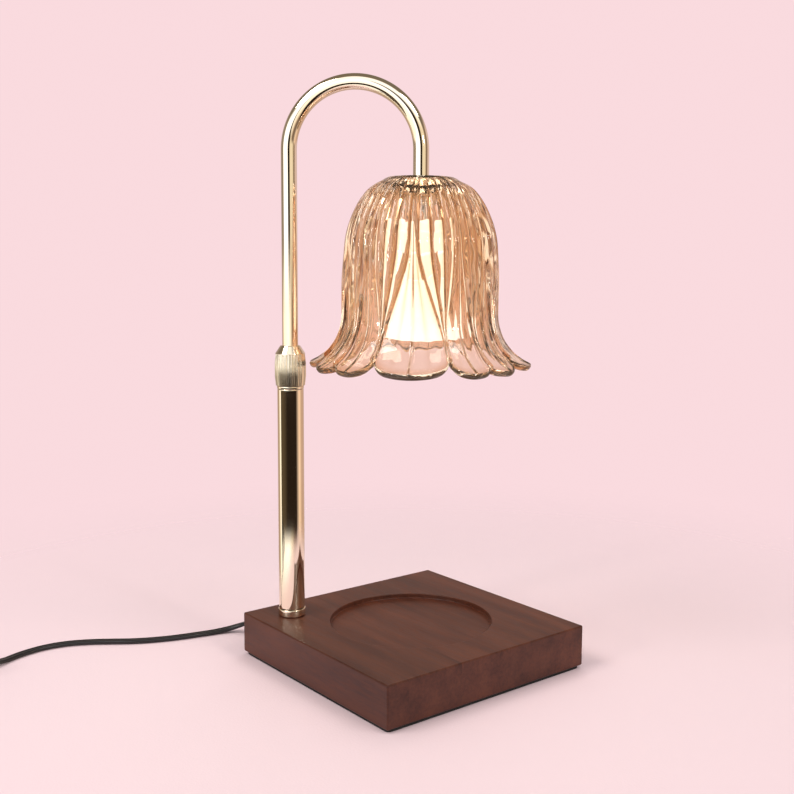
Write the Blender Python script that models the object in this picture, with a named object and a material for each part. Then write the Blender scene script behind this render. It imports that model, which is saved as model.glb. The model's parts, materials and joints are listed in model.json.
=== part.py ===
# Candle warmer lamp: a wooden base, a telescopic gooseneck and a pressed-glass petal shade over a lamp.
# Metres, +Z up. The origin is the centre of the base's underside, on the surface that the lamp stands on.
# X and Y run along the sides of the base. The pole stands near the -X -Y corner.
import math

import bmesh
import bpy
from mathutils import Vector

# Fits
SEAT_GAP = 0.0003  # between pieces that rest on each other, fit in each other or slide
CUT_OVERRUN = 0.002  # how far a cutter runs past the face that it opens
WELD_DISTANCE = 0.000001
FLOOR_CLEARANCE = 0.0001  # what lies on the floor stays this far above its plane

# Base
BASE_SIDE = 0.150
BASE_BLOCK_HEIGHT = 0.025
BASE_EDGE_EASE = 0.0008
PAD_THICKNESS = 0.0015
PAD_INSET = 0.0013
PAD_CORNER = 0.003
RECESS_DIAMETER = 0.100
RECESS_DEPTH = 0.003
POLE_INSET = 0.022  # pole axis from the two nearest sides

# Pole, worked out from the inner tube outwards
GOOSENECK_DIAMETER = 0.0095
GOOSENECK_WALL = 0.0008
SLEEVE_WALL = 0.00165  # of the neck bush, the guide bush and the clamp ring
LOWER_TUBE_WALL = 0.001
LOWER_TUBE_LENGTH = 0.1375
FOOT_RING_HEIGHT = 0.0045
FOOT_RING_OVERHANG = 0.0004
FOOT_RING_BEAD = 0.0003
SPIGOT_HEIGHT = 0.010
SPIGOT_WALL = 0.0014
SPIGOT_LEAD_IN = 0.0005
STUD_WALL = 0.0015

# Fastening under the base
NUT_WELL_DIAMETER = 0.026
NUT_WELL_DEPTH = 0.016
STUD_NUT_FLATS = 0.014
STUD_NUT_HEIGHT = 0.005
STUD_NUT_CHAMFER = 0.0006
STUD_TAIL = 0.001  # thread left below the nut
WASHER_DIAMETER = 0.020
WASHER_THICKNESS = 0.0012

# Neck bush and lock collar
NECK_RING_HEIGHT = 0.0016
NECK_RING_OVERHANG = 0.0002
NECK_SKIRT_LENGTH = 0.018
NECK_NOSE_HEIGHT = 0.0125
CLAMP_RING_HEIGHT = 0.0045
CLAMP_RING_TAPER = 0.0008
CLAMP_RING_SLIT = 0.0015
COLLAR_WALL = 0.0025
KNURL_HEIGHT = 0.0193
KNURL_DEPTH = 0.00035
KNURL_EDGE = 0.0007
KNURL_TEETH = 36
CONE_HEIGHT = 0.0049
CONE_LIP = 0.00125

# Gooseneck
GOOSENECK_RISE = 0.1417  # neck ring to the arch's centre
GOOSENECK_INSERTION = 0.069  # length below the top of the neck ring
GOOSENECK_DROP = 0.016  # straight leg from the arch down to the shade
GUIDE_BUSH_HEIGHT = 0.008
RETAINING_RING_HEIGHT = 0.0012
RETAINING_RING_WALL = 0.0012
LEAD_TAIL = 0.004  # lead that hangs out of the gooseneck's lower end
ARCH_STEPS = 18
TUBE_SIDES = 16

# Shade: outer surface as a bell and a flare
BELL_TOP_RADIUS = 0.0175
BELL_RADIUS = 0.0464
BELL_DEPTH = 0.0851
FLARE_DROP = 0.0241
FLARE_REACH = 0.0192
SHADE_WALL = 0.0033
SHADE_RIM_WALL = 0.0052  # at the petals' lips
SHADE_LIP = 0.0012  # how far the rounded lip stands out past the surface
SHADE_TOP_WALL = 0.0036
SHADE_SEAT_DEPTH = 0.0012
RIB_RELIEF = 0.0014
DEEP_NOTCH_DEPTH = 0.0150  # beside the wide petals, measured along the surface
SHALLOW_NOTCH_DEPTH = 0.0062  # between two narrow petals
RIM_CLEARANCE = 0.003658  # between the petals' reach and the collar on the pole
SHADE_TURN = math.radians(1.0)  # a wide petal's centre from the arm's plane
INNER_COLUMNS = 36
ANGLE_SLACK = math.radians(0.01)  # points of two rings this close in angle count as level

# Depth and radius down the bell, as shares of its depth and radius
BELL_SHARES = (
    (0.000, 0.377),
    (0.003, 0.430),
    (0.024, 0.495),
    (0.063, 0.598),
    (0.157, 0.748),
    (0.273, 0.862),
    (0.405, 0.938),
    (0.552, 0.968),
    (0.713, 0.991),
    (0.874, 1.000),
    (1.000, 1.016),
)
# Drop and reach of the flare below the bell, as shares of its own drop and reach
FLARE_SHARES = ((0.394, 0.170), (0.693, 0.440), (0.888, 0.740), (1.000, 1.000))

# Petals go wide, narrow, narrow, four times round. Angles are in sixteenths of a turn.
PETAL_SIXTEENTHS = (2, 1, 1)
PETAL_SETS = 4
WIDE_SIDE_RIBS = 3
NARROW_SIDE_RIBS = 1
WIDE_PANEL_STEPS = 6
NARROW_PANEL_STEPS = 4
PANEL_START_SHARE = 0.36  # where the smooth panels open, along the surface from the top
PANEL_FULL_SHARE = 0.93
PANEL_WIDTH_SHARE = 0.93  # of the petal at the rim
RIBS_MERGE_SHARE = 0.75  # from here down the side ribs run together into one rounded edge
OUTER_ROW_SHARES = (0.0, 0.035, 0.09, 0.17, 0.26, 0.37, 0.50, 0.63, 0.76, 0.85, 0.93, 1.0)
LIP_ROW_SHARES = (0.25, 0.75)  # of the thickness at the lip
INNER_FLARE_ROW_SHARE = 0.90
INNER_ROW_SHARES = (0.78, 0.66, 0.54, 0.42, 0.30, 0.20)

# Shade fastening and lampholder
NIPPLE_WALL = 0.00105
NIPPLE_TAIL = 0.0195  # below the shade's seat
NIPPLE_IN_TUBE = 0.009
COVER_DIAMETER = 0.024
COVER_THICKNESS = 0.0012
CUP_DIAMETER = 0.0205
CUP_DEPTH = 0.0032
CUP_PLATE = 0.0012
CUP_DRAFT = 0.001
SHADE_NUT_FLATS = 0.0108
SHADE_NUT_HEIGHT = 0.0052
SHADE_NUT_BOSS_DIAMETER = 0.009
SHADE_NUT_BOSS_HEIGHT = 0.0034
BRACKET_LENGTH = 0.026
BRACKET_WIDTH = 0.008
BRACKET_THICKNESS = 0.0012
BRACKET_CORNER = 0.002
BRACKET_NUT_FLATS = 0.010
BRACKET_NUT_HEIGHT = 0.0022
HOLDER_DIAMETER = 0.030
HOLDER_HEIGHT = 0.018
HOLDER_CHAMFER = 0.002
HOLDER_DROP = 0.0085  # bracket to the holder's top
HOLDER_SCREW_SPACING = 0.019
HOLDER_SCREW_DIAMETER = 0.003
HOLDER_SCREW_HEAD = 0.0052
HOLDER_SCREW_HEAD_HEIGHT = 0.0018
HOLDER_SCREW_GRIP = 0.009  # length inside the holder
HOLDER_WIRE_DIAMETER = 0.0016
HOLDER_WIRE_SPREAD = 0.0042

# Lamp with two headed pins that twist into the holder
PIN_SPACING = 0.010
PIN_DIAMETER = 0.003
PIN_HEAD_DIAMETER = 0.005
PIN_HEAD_HEIGHT = 0.0025
PIN_LENGTH = 0.0065
PIN_ROOT = 0.003
PIN_SLOT_DEPTH = 0.009
PIN_TWIST = math.radians(30.0)
BULB_LENGTH = 0.052
BULB_DIAMETER = 0.050
BULB_BASE_DIAMETER = 0.0262
BULB_BASE_HEIGHT = 0.015
BULB_WALL = 0.0014
BULB_LENS_THICKNESS = 0.0016
BULB_LENS_INSET = 0.0008
CAPSULE_DIAMETER = 0.009
CAPSULE_LENGTH = 0.022
# Height up from the front and radius of the reflector, as shares of its height and of the rim's radius
REFLECTOR_SHARES = (
    (0.00, 1.000),
    (0.08, 0.995),
    (0.28, 0.930),
    (0.50, 0.820),
    (0.72, 0.680),
    (0.90, 0.550),
    (1.00, 0.500),
)

# Cord and what is on it
CORD_WIDTH = 0.0053
CORD_THICKNESS = 0.0027
CORD_SPACING = 0.011
EXIT_HEIGHT = 0.0085
RELIEF_BARREL_DIAMETER = 0.0074
RELIEF_BARREL_LENGTH = 0.0075
RELIEF_FLANGE_DIAMETER = 0.011
RELIEF_FLANGE_THICKNESS = 0.0018
RELIEF_TAIL_LENGTH = 0.018
RELIEF_TAIL_WALL = 0.0018
RELIEF_TIP_WALL = 0.0006
RELIEF_GROOVES = 4
RELIEF_GROOVE_DEPTH = 0.0006
DIMMER_LENGTH = 0.060
DIMMER_WIDTH = 0.027
DIMMER_LOWER_HEIGHT = 0.0106
DIMMER_UPPER_HEIGHT = 0.0064
DIMMER_CORNER = 0.006
DIMMER_EDGE = 0.0015
DIMMER_CORD_HEIGHT = 0.0065
DIMMER_FAR_END = (-0.1420, -0.2243)
WHEEL_DIAMETER = 0.016
WHEEL_THICKNESS = 0.0055
WHEEL_TEETH = 16
WHEEL_TOOTH = 0.0004
WHEEL_SIDE_GAP = 0.0006
AXLE_DIAMETER = 0.0024
AXLE_LENGTH = 0.016
DIMMER_SCREW_DIAMETER = 0.0026
DIMMER_SCREW_HEAD = 0.0048
DIMMER_SCREW_HEAD_HEIGHT = 0.0016
DIMMER_SCREW_SINK = 0.0012
DIMMER_SCREW_LENGTH = 0.0115
DIMMER_SCREW_END_INSET = 0.011
COIL_TURNS = 6
COIL_LAYERS = 2
COIL_POINTS_PER_TURN = 22
COIL_MEAN_RADIUS = 0.029
COIL_PITCH = 0.0061
COIL_LAYER_STEP = 0.0032
COIL_TURN_ROUNDING = 0.6  # radians over which the spiral reverses
COIL_LIFT = 0.0013  # the tie passes under the turns
TIE_THICKNESS = 0.0008
TIE_WIDTH = 0.008
TIE_SLACK = 0.0004
TIE_SIDE_SLACK = 0.001
TIE_CORNER_SHARE = 0.5  # of half the loop's height
PLUG_LENGTH = 0.030
PLUG_WIDTH = 0.022
PLUG_HEIGHT = 0.0145
PLUG_NECK_WIDTH = 0.0085
PLUG_NECK_HEIGHT = 0.0065
PLUG_CORNER_SHARE = 0.45  # of its height
BLADE_SPACING = 0.0127
BLADE_HEIGHT = 0.00635
BLADE_THICKNESS = 0.0015
BLADE_LENGTH = 0.0170
BLADE_ROOT = 0.004
# Width and height of the plug's sections along its length, as shares of the way from neck to face size
PLUG_SHARES = ((0.0, 0.0), (0.22, 0.06), (0.42, 0.55), (0.55, 0.85), (0.70, 1.0), (0.94, 1.0), (1.0, 0.93))

# Routes that the cord follows, with the flat lead lying on its broad side
LEAD_ROUTE = (
    (-0.1000, -0.0531, 0.0083),
    (-0.1060, -0.0548, 0.0068),
    (-0.1115, -0.0590, 0.0042),
    (-0.1155, -0.0655, 0.0022),
    (-0.1180, -0.0740, 0.0015),
    (-0.1205, -0.0850, 0.0015),
    (-0.1240, -0.0980, 0.0015),
    (-0.1290, -0.1110, 0.0015),
    (-0.1355, -0.1230, 0.0015),
    (-0.1435, -0.1340, 0.0015),
    (-0.1515, -0.1460, 0.0015),
    (-0.1572, -0.1590, 0.0015),
    (-0.1588, -0.1725, 0.0015),
    (-0.1565, -0.1860, 0.0015),
    (-0.1515, -0.1980, 0.0018),
    (-0.1462, -0.2090, 0.0042),
    (-0.1428, -0.2190, 0.0063),
)
LINK_LENGTH = 0.031  # from the dimmer to the coil's first turn
TAIL_ROUTE = (
    (-0.1407, -0.3380, 0.0021),
    (-0.1350, -0.3490, 0.0015),
    (-0.1250, -0.3560, 0.0015),
    (-0.1130, -0.3565, 0.0015),
    (-0.1025, -0.3500, 0.0022),
    (-0.0963, -0.3390, 0.0048),
)
PLUG_NECK_AT = (-0.0945, -0.3240)

# Heights, radii and the arm's reach that follow from the sizes above
BASE_BOTTOM = PAD_THICKNESS + SEAT_GAP
BASE_TOP = BASE_BOTTOM + BASE_BLOCK_HEIGHT
POLE_PLACE = POLE_INSET - BASE_SIDE / 2
GOOSENECK_RADIUS = GOOSENECK_DIAMETER / 2
GOOSENECK_BORE = GOOSENECK_RADIUS - GOOSENECK_WALL
SLEEVE_BORE = GOOSENECK_RADIUS + SEAT_GAP
SLEEVE_RADIUS = SLEEVE_BORE + SLEEVE_WALL
LOWER_TUBE_BORE = SLEEVE_RADIUS + SEAT_GAP
LOWER_TUBE_RADIUS = LOWER_TUBE_BORE + LOWER_TUBE_WALL
STUD_HOLE = SLEEVE_RADIUS - SPIGOT_WALL
STUD_RADIUS = STUD_HOLE - SEAT_GAP
FOOT_BOTTOM = BASE_TOP + SEAT_GAP
FOOT_RING_TOP = FOOT_BOTTOM + FOOT_RING_HEIGHT
SPIGOT_TOP = FOOT_RING_TOP + SPIGOT_HEIGHT
TUBE_BOTTOM = FOOT_RING_TOP + SEAT_GAP
TUBE_TOP = TUBE_BOTTOM + LOWER_TUBE_LENGTH
NECK_RING_BOTTOM = TUBE_TOP + SEAT_GAP
NECK_RING_TOP = NECK_RING_BOTTOM + NECK_RING_HEIGHT
NOSE_TOP = NECK_RING_TOP + NECK_NOSE_HEIGHT
CLAMP_BOTTOM = NOSE_TOP + SEAT_GAP
CLAMP_TOP = CLAMP_BOTTOM + CLAMP_RING_HEIGHT
COLLAR_BOTTOM = NECK_RING_TOP + SEAT_GAP
COLLAR_BORE = SLEEVE_RADIUS + SEAT_GAP
COLLAR_RADIUS = COLLAR_BORE + COLLAR_WALL
KNURL_TOP = COLLAR_BOTTOM + KNURL_HEIGHT
COLLAR_TOP = KNURL_TOP + CONE_HEIGHT
GOOSENECK_BOTTOM = NECK_RING_TOP - GOOSENECK_INSERTION
ARCH_CENTRE = NECK_RING_TOP + GOOSENECK_RISE
RIM_RADIUS = BELL_SHARES[-1][1] * BELL_RADIUS + FLARE_REACH
ARM_REACH = COLLAR_RADIUS + RIM_CLEARANCE + RIM_RADIUS  # pole axis to shade axis
ARCH_RADIUS = ARM_REACH / 2
GOOSENECK_END = ARCH_CENTRE - GOOSENECK_DROP
NIPPLE_RADIUS = GOOSENECK_BORE - SEAT_GAP
NIPPLE_BORE = NIPPLE_RADIUS - NIPPLE_WALL
LEAD_RADIUS = NIPPLE_BORE - SEAT_GAP
COVER_TOP = GOOSENECK_END - SEAT_GAP
SHADE_SEAT = COVER_TOP - COVER_THICKNESS - SEAT_GAP
SHADE_TOP = SHADE_SEAT + SHADE_SEAT_DEPTH
SHADE_CEILING = SHADE_SEAT - SHADE_TOP_WALL
NIPPLE_CLEAR = NIPPLE_RADIUS + SEAT_GAP
CUP_TOP = SHADE_CEILING - SEAT_GAP
SHADE_NUT_TOP = CUP_TOP - CUP_PLATE - SEAT_GAP
SHADE_NUT_BOTTOM = SHADE_NUT_TOP - SHADE_NUT_HEIGHT - SHADE_NUT_BOSS_HEIGHT
BRACKET_TOP = SHADE_NUT_BOTTOM - SEAT_GAP
BRACKET_BOTTOM = BRACKET_TOP - BRACKET_THICKNESS
BRACKET_NUT_TOP = BRACKET_BOTTOM - SEAT_GAP
NIPPLE_BOTTOM = SHADE_SEAT - NIPPLE_TAIL
HOLDER_TOP = BRACKET_BOTTOM - HOLDER_DROP
HOLDER_BOTTOM = HOLDER_TOP - HOLDER_HEIGHT
BULB_TOP = HOLDER_BOTTOM - SEAT_GAP
BULB_FACE = BULB_TOP - BULB_LENGTH
CORD_FLATTENING = CORD_THICKNESS / CORD_WIDTH
CORD_FLOOR_HEIGHT = CORD_THICKNESS / 2 + FLOOR_CLEARANCE

# Colours: base colour, roughness and metallic value
FINISHES = {
    "walnut": ((0.105, 0.038, 0.020), 0.38, 0.0),
    "pad_rubber": ((0.012, 0.012, 0.012), 0.85, 0.0),
    "polished_gold": ((0.86, 0.66, 0.42), 0.12, 1.0),
    "satin_gold": ((0.83, 0.70, 0.50), 0.35, 1.0),
    "nickel": ((0.62, 0.60, 0.56), 0.25, 1.0),
    "zinc_steel": ((0.55, 0.56, 0.58), 0.35, 1.0),
    "nylon": ((0.80, 0.78, 0.72), 0.5, 0.0),
    "champagne_glass": ((0.95, 0.72, 0.55), 0.03, 0.0),
    "ceramic": ((0.85, 0.83, 0.78), 0.45, 0.0),
    "lamp_glass": ((0.95, 0.95, 0.92), 0.08, 0.0),
    "coated_glass": ((0.86, 0.86, 0.84), 0.35, 0.0),
    "black_vinyl": ((0.012, 0.012, 0.013), 0.3, 0.0),
    "white_insulation": ((0.75, 0.74, 0.70), 0.5, 0.0),
    "blade_brass": ((0.75, 0.62, 0.36), 0.3, 1.0),
}


def clear_scene():
    for obj in list(bpy.data.objects):
        bpy.data.objects.remove(obj, do_unlink=True)


def finish(name):
    material = bpy.data.materials.get(name)
    if material is None:
        colour, roughness, metallic = FINISHES[name]
        material = bpy.data.materials.new(name)
        material.use_nodes = True
        shader = material.node_tree.nodes["Principled BSDF"]
        shader.inputs["Base Color"].default_value = (*colour, 1.0)
        shader.inputs["Roughness"].default_value = roughness
        shader.inputs["Metallic"].default_value = metallic
        if name in ("champagne_glass", "lamp_glass"):
            shader.inputs["Transmission Weight"].default_value = 1.0
    return material


def axis_empty(name, place, parent=None):
    empty = bpy.data.objects.new(name, None)
    empty.location = place
    empty.parent = parent
    bpy.context.collection.objects.link(empty)
    return empty


def part(name, bm, finish_name, parent=None, place=(0, 0, 0), turn=(0, 0, 0)):
    """Turn a bmesh into a named object with its own finish, smooth but for its sharp edges."""
    bmesh.ops.remove_doubles(bm, verts=bm.verts, dist=WELD_DISTANCE)
    bmesh.ops.recalc_face_normals(bm, faces=bm.faces)
    mesh = bpy.data.meshes.new(name)
    bm.to_mesh(mesh)
    bm.free()
    mesh.shade_smooth()
    mesh.set_sharp_from_angle(angle=math.radians(35))
    mesh.materials.append(finish(finish_name))
    obj = bpy.data.objects.new(name, mesh)
    obj.location = place
    obj.rotation_euler = turn
    obj.parent = parent
    bpy.context.collection.objects.link(obj)
    return obj


def cutter(name, bm, parent=None, place=(0, 0, 0), turn=(0, 0, 0)):
    obj = part(name, bm, "nickel", parent, place, turn)
    obj.hide_render = True
    obj.display_type = "WIRE"
    return obj


def cut(obj, tool):
    boolean = obj.modifiers.new("Cut " + tool.name, "BOOLEAN")
    boolean.operation = "DIFFERENCE"
    boolean.object = tool


def turned(outline, steps):
    """Spin a (radius, height) outline round Z. One that starts off the axis is closed into a ring."""
    bm = bmesh.new()
    verts = [bm.verts.new((radius, 0, height)) for radius, height in outline]
    edges = [bm.edges.new(pair) for pair in zip(verts, verts[1:])]
    if outline[0][0] > 0:
        edges.append(bm.edges.new((verts[-1], verts[0])))
    bmesh.ops.spin(
        bm, geom=verts + edges, cent=(0, 0, 0), axis=(0, 0, 1), angle=math.tau, steps=steps, use_merge=True
    )
    return bm


def lofted(rings, closed):
    """Join rings of points into a skin. A closed loft also joins its last ring to its first, for a tube."""
    bm = bmesh.new()
    loops = [[bm.verts.new(point) for point in ring] for ring in rings]
    pairs = list(zip(loops, loops[1:]))
    if closed:
        pairs.append((loops[-1], loops[0]))
    for lower, upper in pairs:
        for i in range(len(lower)):
            j = (i + 1) % len(lower)
            bm.faces.new((lower[i], lower[j], upper[j], upper[i]))
    if not closed:
        bm.faces.new(loops[0])
        bm.faces.new(loops[-1])
    return bm


def hollow_prism(radius_at, bore, bottom, top, chamfer, steps):
    """A ring with a round bore whose outside follows radius_at(angle), such as a nut."""
    angles = [math.tau * i / steps for i in range(steps)]

    def ring(radius_of, height):
        return [(radius_of(a) * math.cos(a), radius_of(a) * math.sin(a), height) for a in angles]

    smallest = min(radius_at(a) for a in angles)
    rings = [
        ring(lambda a: bore, bottom),
        ring(lambda a: smallest - chamfer / 2, bottom),
        ring(radius_at, bottom + chamfer),
        ring(radius_at, top - chamfer),
        ring(lambda a: smallest - chamfer / 2, top),
        ring(lambda a: bore, top),
    ]
    return lofted(rings, closed=True)


def hexagon(flats):
    """Distance from the centre to a hexagon's side at an angle."""
    sixth = math.tau / 6
    return lambda a: flats / 2 / math.cos((a % sixth) - sixth / 2)


def rounded_rectangle(length, width, corner, height, steps=4):
    ring = []
    for quarter in range(4):
        start = math.tau / 4 * quarter
        middle = start + math.tau / 8
        x = math.copysign(length / 2 - corner, math.cos(middle))
        y = math.copysign(width / 2 - corner, math.sin(middle))
        for i in range(steps + 1):
            angle = start + math.tau / 4 * i / steps
            ring.append((x + corner * math.cos(angle), y + corner * math.sin(angle), height))
    return ring


def rounded_slab(length, width, corner, bottom, top, bottom_edge=0.0, top_edge=0.0):
    """An upright rounded block whose bottom and top edges are chamfered."""
    sections = [(bottom, bottom_edge), (bottom + bottom_edge, 0.0), (top - top_edge, 0.0), (top, top_edge)]
    rings = []
    for height, inset in sections:
        ring = rounded_rectangle(length - 2 * inset, width - 2 * inset, corner - inset, height)
        if not rings or rings[-1][0][2] != height:
            rings.append(ring)
    return lofted(rings, closed=False)


def cylinder(radius, bottom, top, steps=32):
    return turned([(0, bottom), (radius, bottom), (radius, top), (0, top)], steps)


def smooth_points(knots, samples=24):
    """A Catmull-Rom curve through the knots, finely sampled."""
    knots = [Vector(k) for k in knots]
    padded = [2 * knots[0] - knots[1], *knots, 2 * knots[-1] - knots[-2]]
    points = []
    for a, b, c, d in zip(padded, padded[1:], padded[2:], padded[3:]):
        for i in range(samples):
            t = i / samples
            bend = (2 * a - 5 * b + 4 * c - d) * t**2 + (3 * b - a - 3 * c + d) * t**3
            points.append(b + ((c - a) * t + bend) / 2)
    points.append(knots[-1])
    return points


def running_lengths(points):
    lengths = [0.0]
    for a, b in zip(points, points[1:]):
        lengths.append(lengths[-1] + (b - a).length)
    return lengths


def spaced(points, spacing):
    """The curve's points read again at equal distances."""
    lengths = running_lengths(points)
    count = max(2, round(lengths[-1] / spacing))
    read = []
    at = 0
    for i in range(count + 1):
        wanted = lengths[-1] * i / count
        while at < len(points) - 2 and lengths[at + 1] < wanted:
            at += 1
        share = (wanted - lengths[at]) / (lengths[at + 1] - lengths[at])
        read.append(points[at].lerp(points[at + 1], min(1.0, share)))
    return read


def tube_curve(name, points, radius, finish_name, resolution=2, flattening=1.0, parent=None):
    """A solid round or flattened lead along the points, as a bevelled curve with filled ends."""
    curve = bpy.data.curves.new(name, "CURVE")
    curve.dimensions = "3D"
    curve.bevel_depth = radius
    curve.bevel_resolution = resolution
    curve.use_fill_caps = True
    spline = curve.splines.new("POLY")
    spline.points.add(len(points) - 1)
    for target, (x, y, z) in zip(spline.points, points):
        target.co = (x, y, z / flattening, 1)
    curve.materials.append(finish(finish_name))
    obj = bpy.data.objects.new(name, curve)
    obj.scale = (1, 1, flattening)
    obj.parent = parent
    bpy.context.collection.objects.link(obj)
    return obj


# Base and what fastens the pole to it


def build_base():
    bm = bmesh.new()
    bmesh.ops.create_cube(bm, size=1)
    bmesh.ops.scale(bm, vec=(BASE_SIDE, BASE_SIDE, BASE_BLOCK_HEIGHT), verts=bm.verts)
    middle = BASE_BOTTOM + BASE_BLOCK_HEIGHT / 2
    bmesh.ops.translate(bm, vec=(0, 0, middle), verts=bm.verts)
    base = part("wood_base", bm, "walnut")
    ease = base.modifiers.new("Eased edges", "BEVEL")
    ease.width = BASE_EDGE_EASE
    ease.segments = 2
    recess = cylinder(RECESS_DIAMETER / 2, BASE_TOP - RECESS_DEPTH, BASE_TOP + CUT_OVERRUN, 72)
    cut(base, cutter("recess_cutter", recess))
    pole = (POLE_PLACE, POLE_PLACE, 0)
    hole = cylinder(STUD_RADIUS + SEAT_GAP, BASE_BOTTOM, BASE_TOP + CUT_OVERRUN)
    cut(base, cutter("pole_hole_cutter", hole, place=pole))
    well = cylinder(NUT_WELL_DIAMETER / 2, BASE_BOTTOM - CUT_OVERRUN, BASE_BOTTOM + NUT_WELL_DEPTH, 40)
    cut(base, cutter("nut_well_cutter", well, place=pole))
    entry = cylinder(RELIEF_BARREL_DIAMETER / 2 + SEAT_GAP, 0, POLE_INSET + CUT_OVERRUN, 24)
    entry_place = (POLE_PLACE, POLE_PLACE, EXIT_HEIGHT)
    cut(base, cutter("cord_hole_cutter", entry, place=entry_place, turn=(0, -math.tau / 4, 0)))

    pad_side = BASE_SIDE - 2 * PAD_INSET
    part("base_pad", rounded_slab(pad_side, pad_side, PAD_CORNER, 0, PAD_THICKNESS), "pad_rubber")


def build_pole(pole_axis):
    ring_radius = LOWER_TUBE_RADIUS + FOOT_RING_OVERHANG
    foot = [
        (STUD_HOLE, FOOT_BOTTOM),
        (ring_radius, FOOT_BOTTOM),
        (ring_radius, FOOT_RING_TOP - FOOT_RING_BEAD),
        (ring_radius - FOOT_RING_BEAD, FOOT_RING_TOP),
        (SLEEVE_RADIUS, FOOT_RING_TOP),
        (SLEEVE_RADIUS, SPIGOT_TOP - SPIGOT_LEAD_IN),
        (SLEEVE_RADIUS - SPIGOT_LEAD_IN, SPIGOT_TOP),
        (STUD_HOLE, SPIGOT_TOP),
    ]
    part("pole_foot", turned(foot, 24), "polished_gold", pole_axis)
    tube = [
        (LOWER_TUBE_BORE, TUBE_BOTTOM),
        (LOWER_TUBE_RADIUS, TUBE_BOTTOM),
        (LOWER_TUBE_RADIUS, TUBE_TOP),
        (LOWER_TUBE_BORE, TUBE_TOP),
    ]
    part("lower_tube", turned(tube, 32), "polished_gold", pole_axis)

    well_top = BASE_BOTTOM + NUT_WELL_DEPTH
    washer_top = well_top - SEAT_GAP
    nut_top = washer_top - WASHER_THICKNESS - SEAT_GAP
    nut_bottom = nut_top - STUD_NUT_HEIGHT
    stud_bore = STUD_RADIUS - STUD_WALL
    stud = [
        (stud_bore, nut_bottom - STUD_TAIL),
        (STUD_RADIUS, nut_bottom - STUD_TAIL),
        (STUD_RADIUS, SPIGOT_TOP),
        (stud_bore, SPIGOT_TOP),
    ]
    part("mount_stud", turned(stud, 24), "zinc_steel", pole_axis)
    washer = [
        (STUD_HOLE, washer_top - WASHER_THICKNESS),
        (WASHER_DIAMETER / 2, washer_top - WASHER_THICKNESS),
        (WASHER_DIAMETER / 2, washer_top),
        (STUD_HOLE, washer_top),
    ]
    part("stud_washer", turned(washer, 24), "zinc_steel", pole_axis)
    nut = hollow_prism(hexagon(STUD_NUT_FLATS), STUD_HOLE, nut_bottom, nut_top, STUD_NUT_CHAMFER, 12)
    part("stud_nut", nut, "zinc_steel", pole_axis)
    return nut_bottom - STUD_TAIL


def build_neck(pole_axis):
    ring_radius = LOWER_TUBE_RADIUS + NECK_RING_OVERHANG
    bush = [
        (SLEEVE_BORE, NECK_RING_BOTTOM - NECK_SKIRT_LENGTH),
        (SLEEVE_RADIUS, NECK_RING_BOTTOM - NECK_SKIRT_LENGTH),
        (SLEEVE_RADIUS, NECK_RING_BOTTOM),
        (ring_radius, NECK_RING_BOTTOM),
        (ring_radius, NECK_RING_TOP),
        (SLEEVE_RADIUS, NECK_RING_TOP),
        (SLEEVE_RADIUS, NOSE_TOP),
        (SLEEVE_BORE, NOSE_TOP),
    ]
    part("neck_bush", turned(bush, 24), "polished_gold", pole_axis)

    taper = CLAMP_RING_TAPER
    ring = [
        (SLEEVE_BORE, CLAMP_BOTTOM),
        (SLEEVE_RADIUS - taper, CLAMP_BOTTOM),
        (SLEEVE_RADIUS, CLAMP_BOTTOM + taper),
        (SLEEVE_RADIUS, CLAMP_TOP - taper),
        (SLEEVE_RADIUS - taper, CLAMP_TOP),
        (SLEEVE_BORE, CLAMP_TOP),
    ]
    clamp_axis = axis_empty("clamp_ring_axis", (0, 0, 0), pole_axis)
    clamp = part("clamp_ring", turned(ring, 24), "nylon", clamp_axis)
    slit = bmesh.new()
    bmesh.ops.create_cube(slit, size=1)
    reach = SLEEVE_RADIUS + CUT_OVERRUN
    bmesh.ops.scale(slit, vec=(reach, CLAMP_RING_SLIT, CLAMP_RING_HEIGHT + CUT_OVERRUN), verts=slit.verts)
    bmesh.ops.translate(slit, vec=(reach / 2, 0, (CLAMP_BOTTOM + CLAMP_TOP) / 2), verts=slit.verts)
    cut(clamp, cutter("clamp_slit_cutter", slit, clamp_axis))
    return clamp_axis


def build_collar(clamp_axis):
    """Collar with a knurled barrel, a polished cone above it and a stepped bore for the clamp ring."""
    steps = 2 * KNURL_TEETH
    collar_axis = axis_empty("lock_collar_axis", (0, 0, 0), clamp_axis)

    def ring(radius, height, tooth=0.0):
        points = []
        for i in range(steps):
            angle = math.tau * i / steps
            r = radius - tooth * (i % 2)
            points.append((r * math.cos(angle), r * math.sin(angle), height))
        return points

    cavity_top = CLAMP_TOP + SEAT_GAP
    rings = [
        ring(COLLAR_BORE, COLLAR_BOTTOM),
        ring(COLLAR_RADIUS - KNURL_EDGE, COLLAR_BOTTOM),
        ring(COLLAR_RADIUS, COLLAR_BOTTOM + KNURL_EDGE, KNURL_DEPTH),
        ring(COLLAR_RADIUS, KNURL_TOP - KNURL_DEPTH, KNURL_DEPTH),
        ring(COLLAR_RADIUS - KNURL_DEPTH, KNURL_TOP),
        ring(GOOSENECK_RADIUS + CONE_LIP, COLLAR_TOP),
        ring(SLEEVE_BORE, COLLAR_TOP),
        ring(SLEEVE_BORE, cavity_top + CLAMP_RING_TAPER),
        ring(COLLAR_BORE, cavity_top),
    ]
    part("lock_collar", lofted(rings, closed=True), "satin_gold", collar_axis)


# Gooseneck


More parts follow.
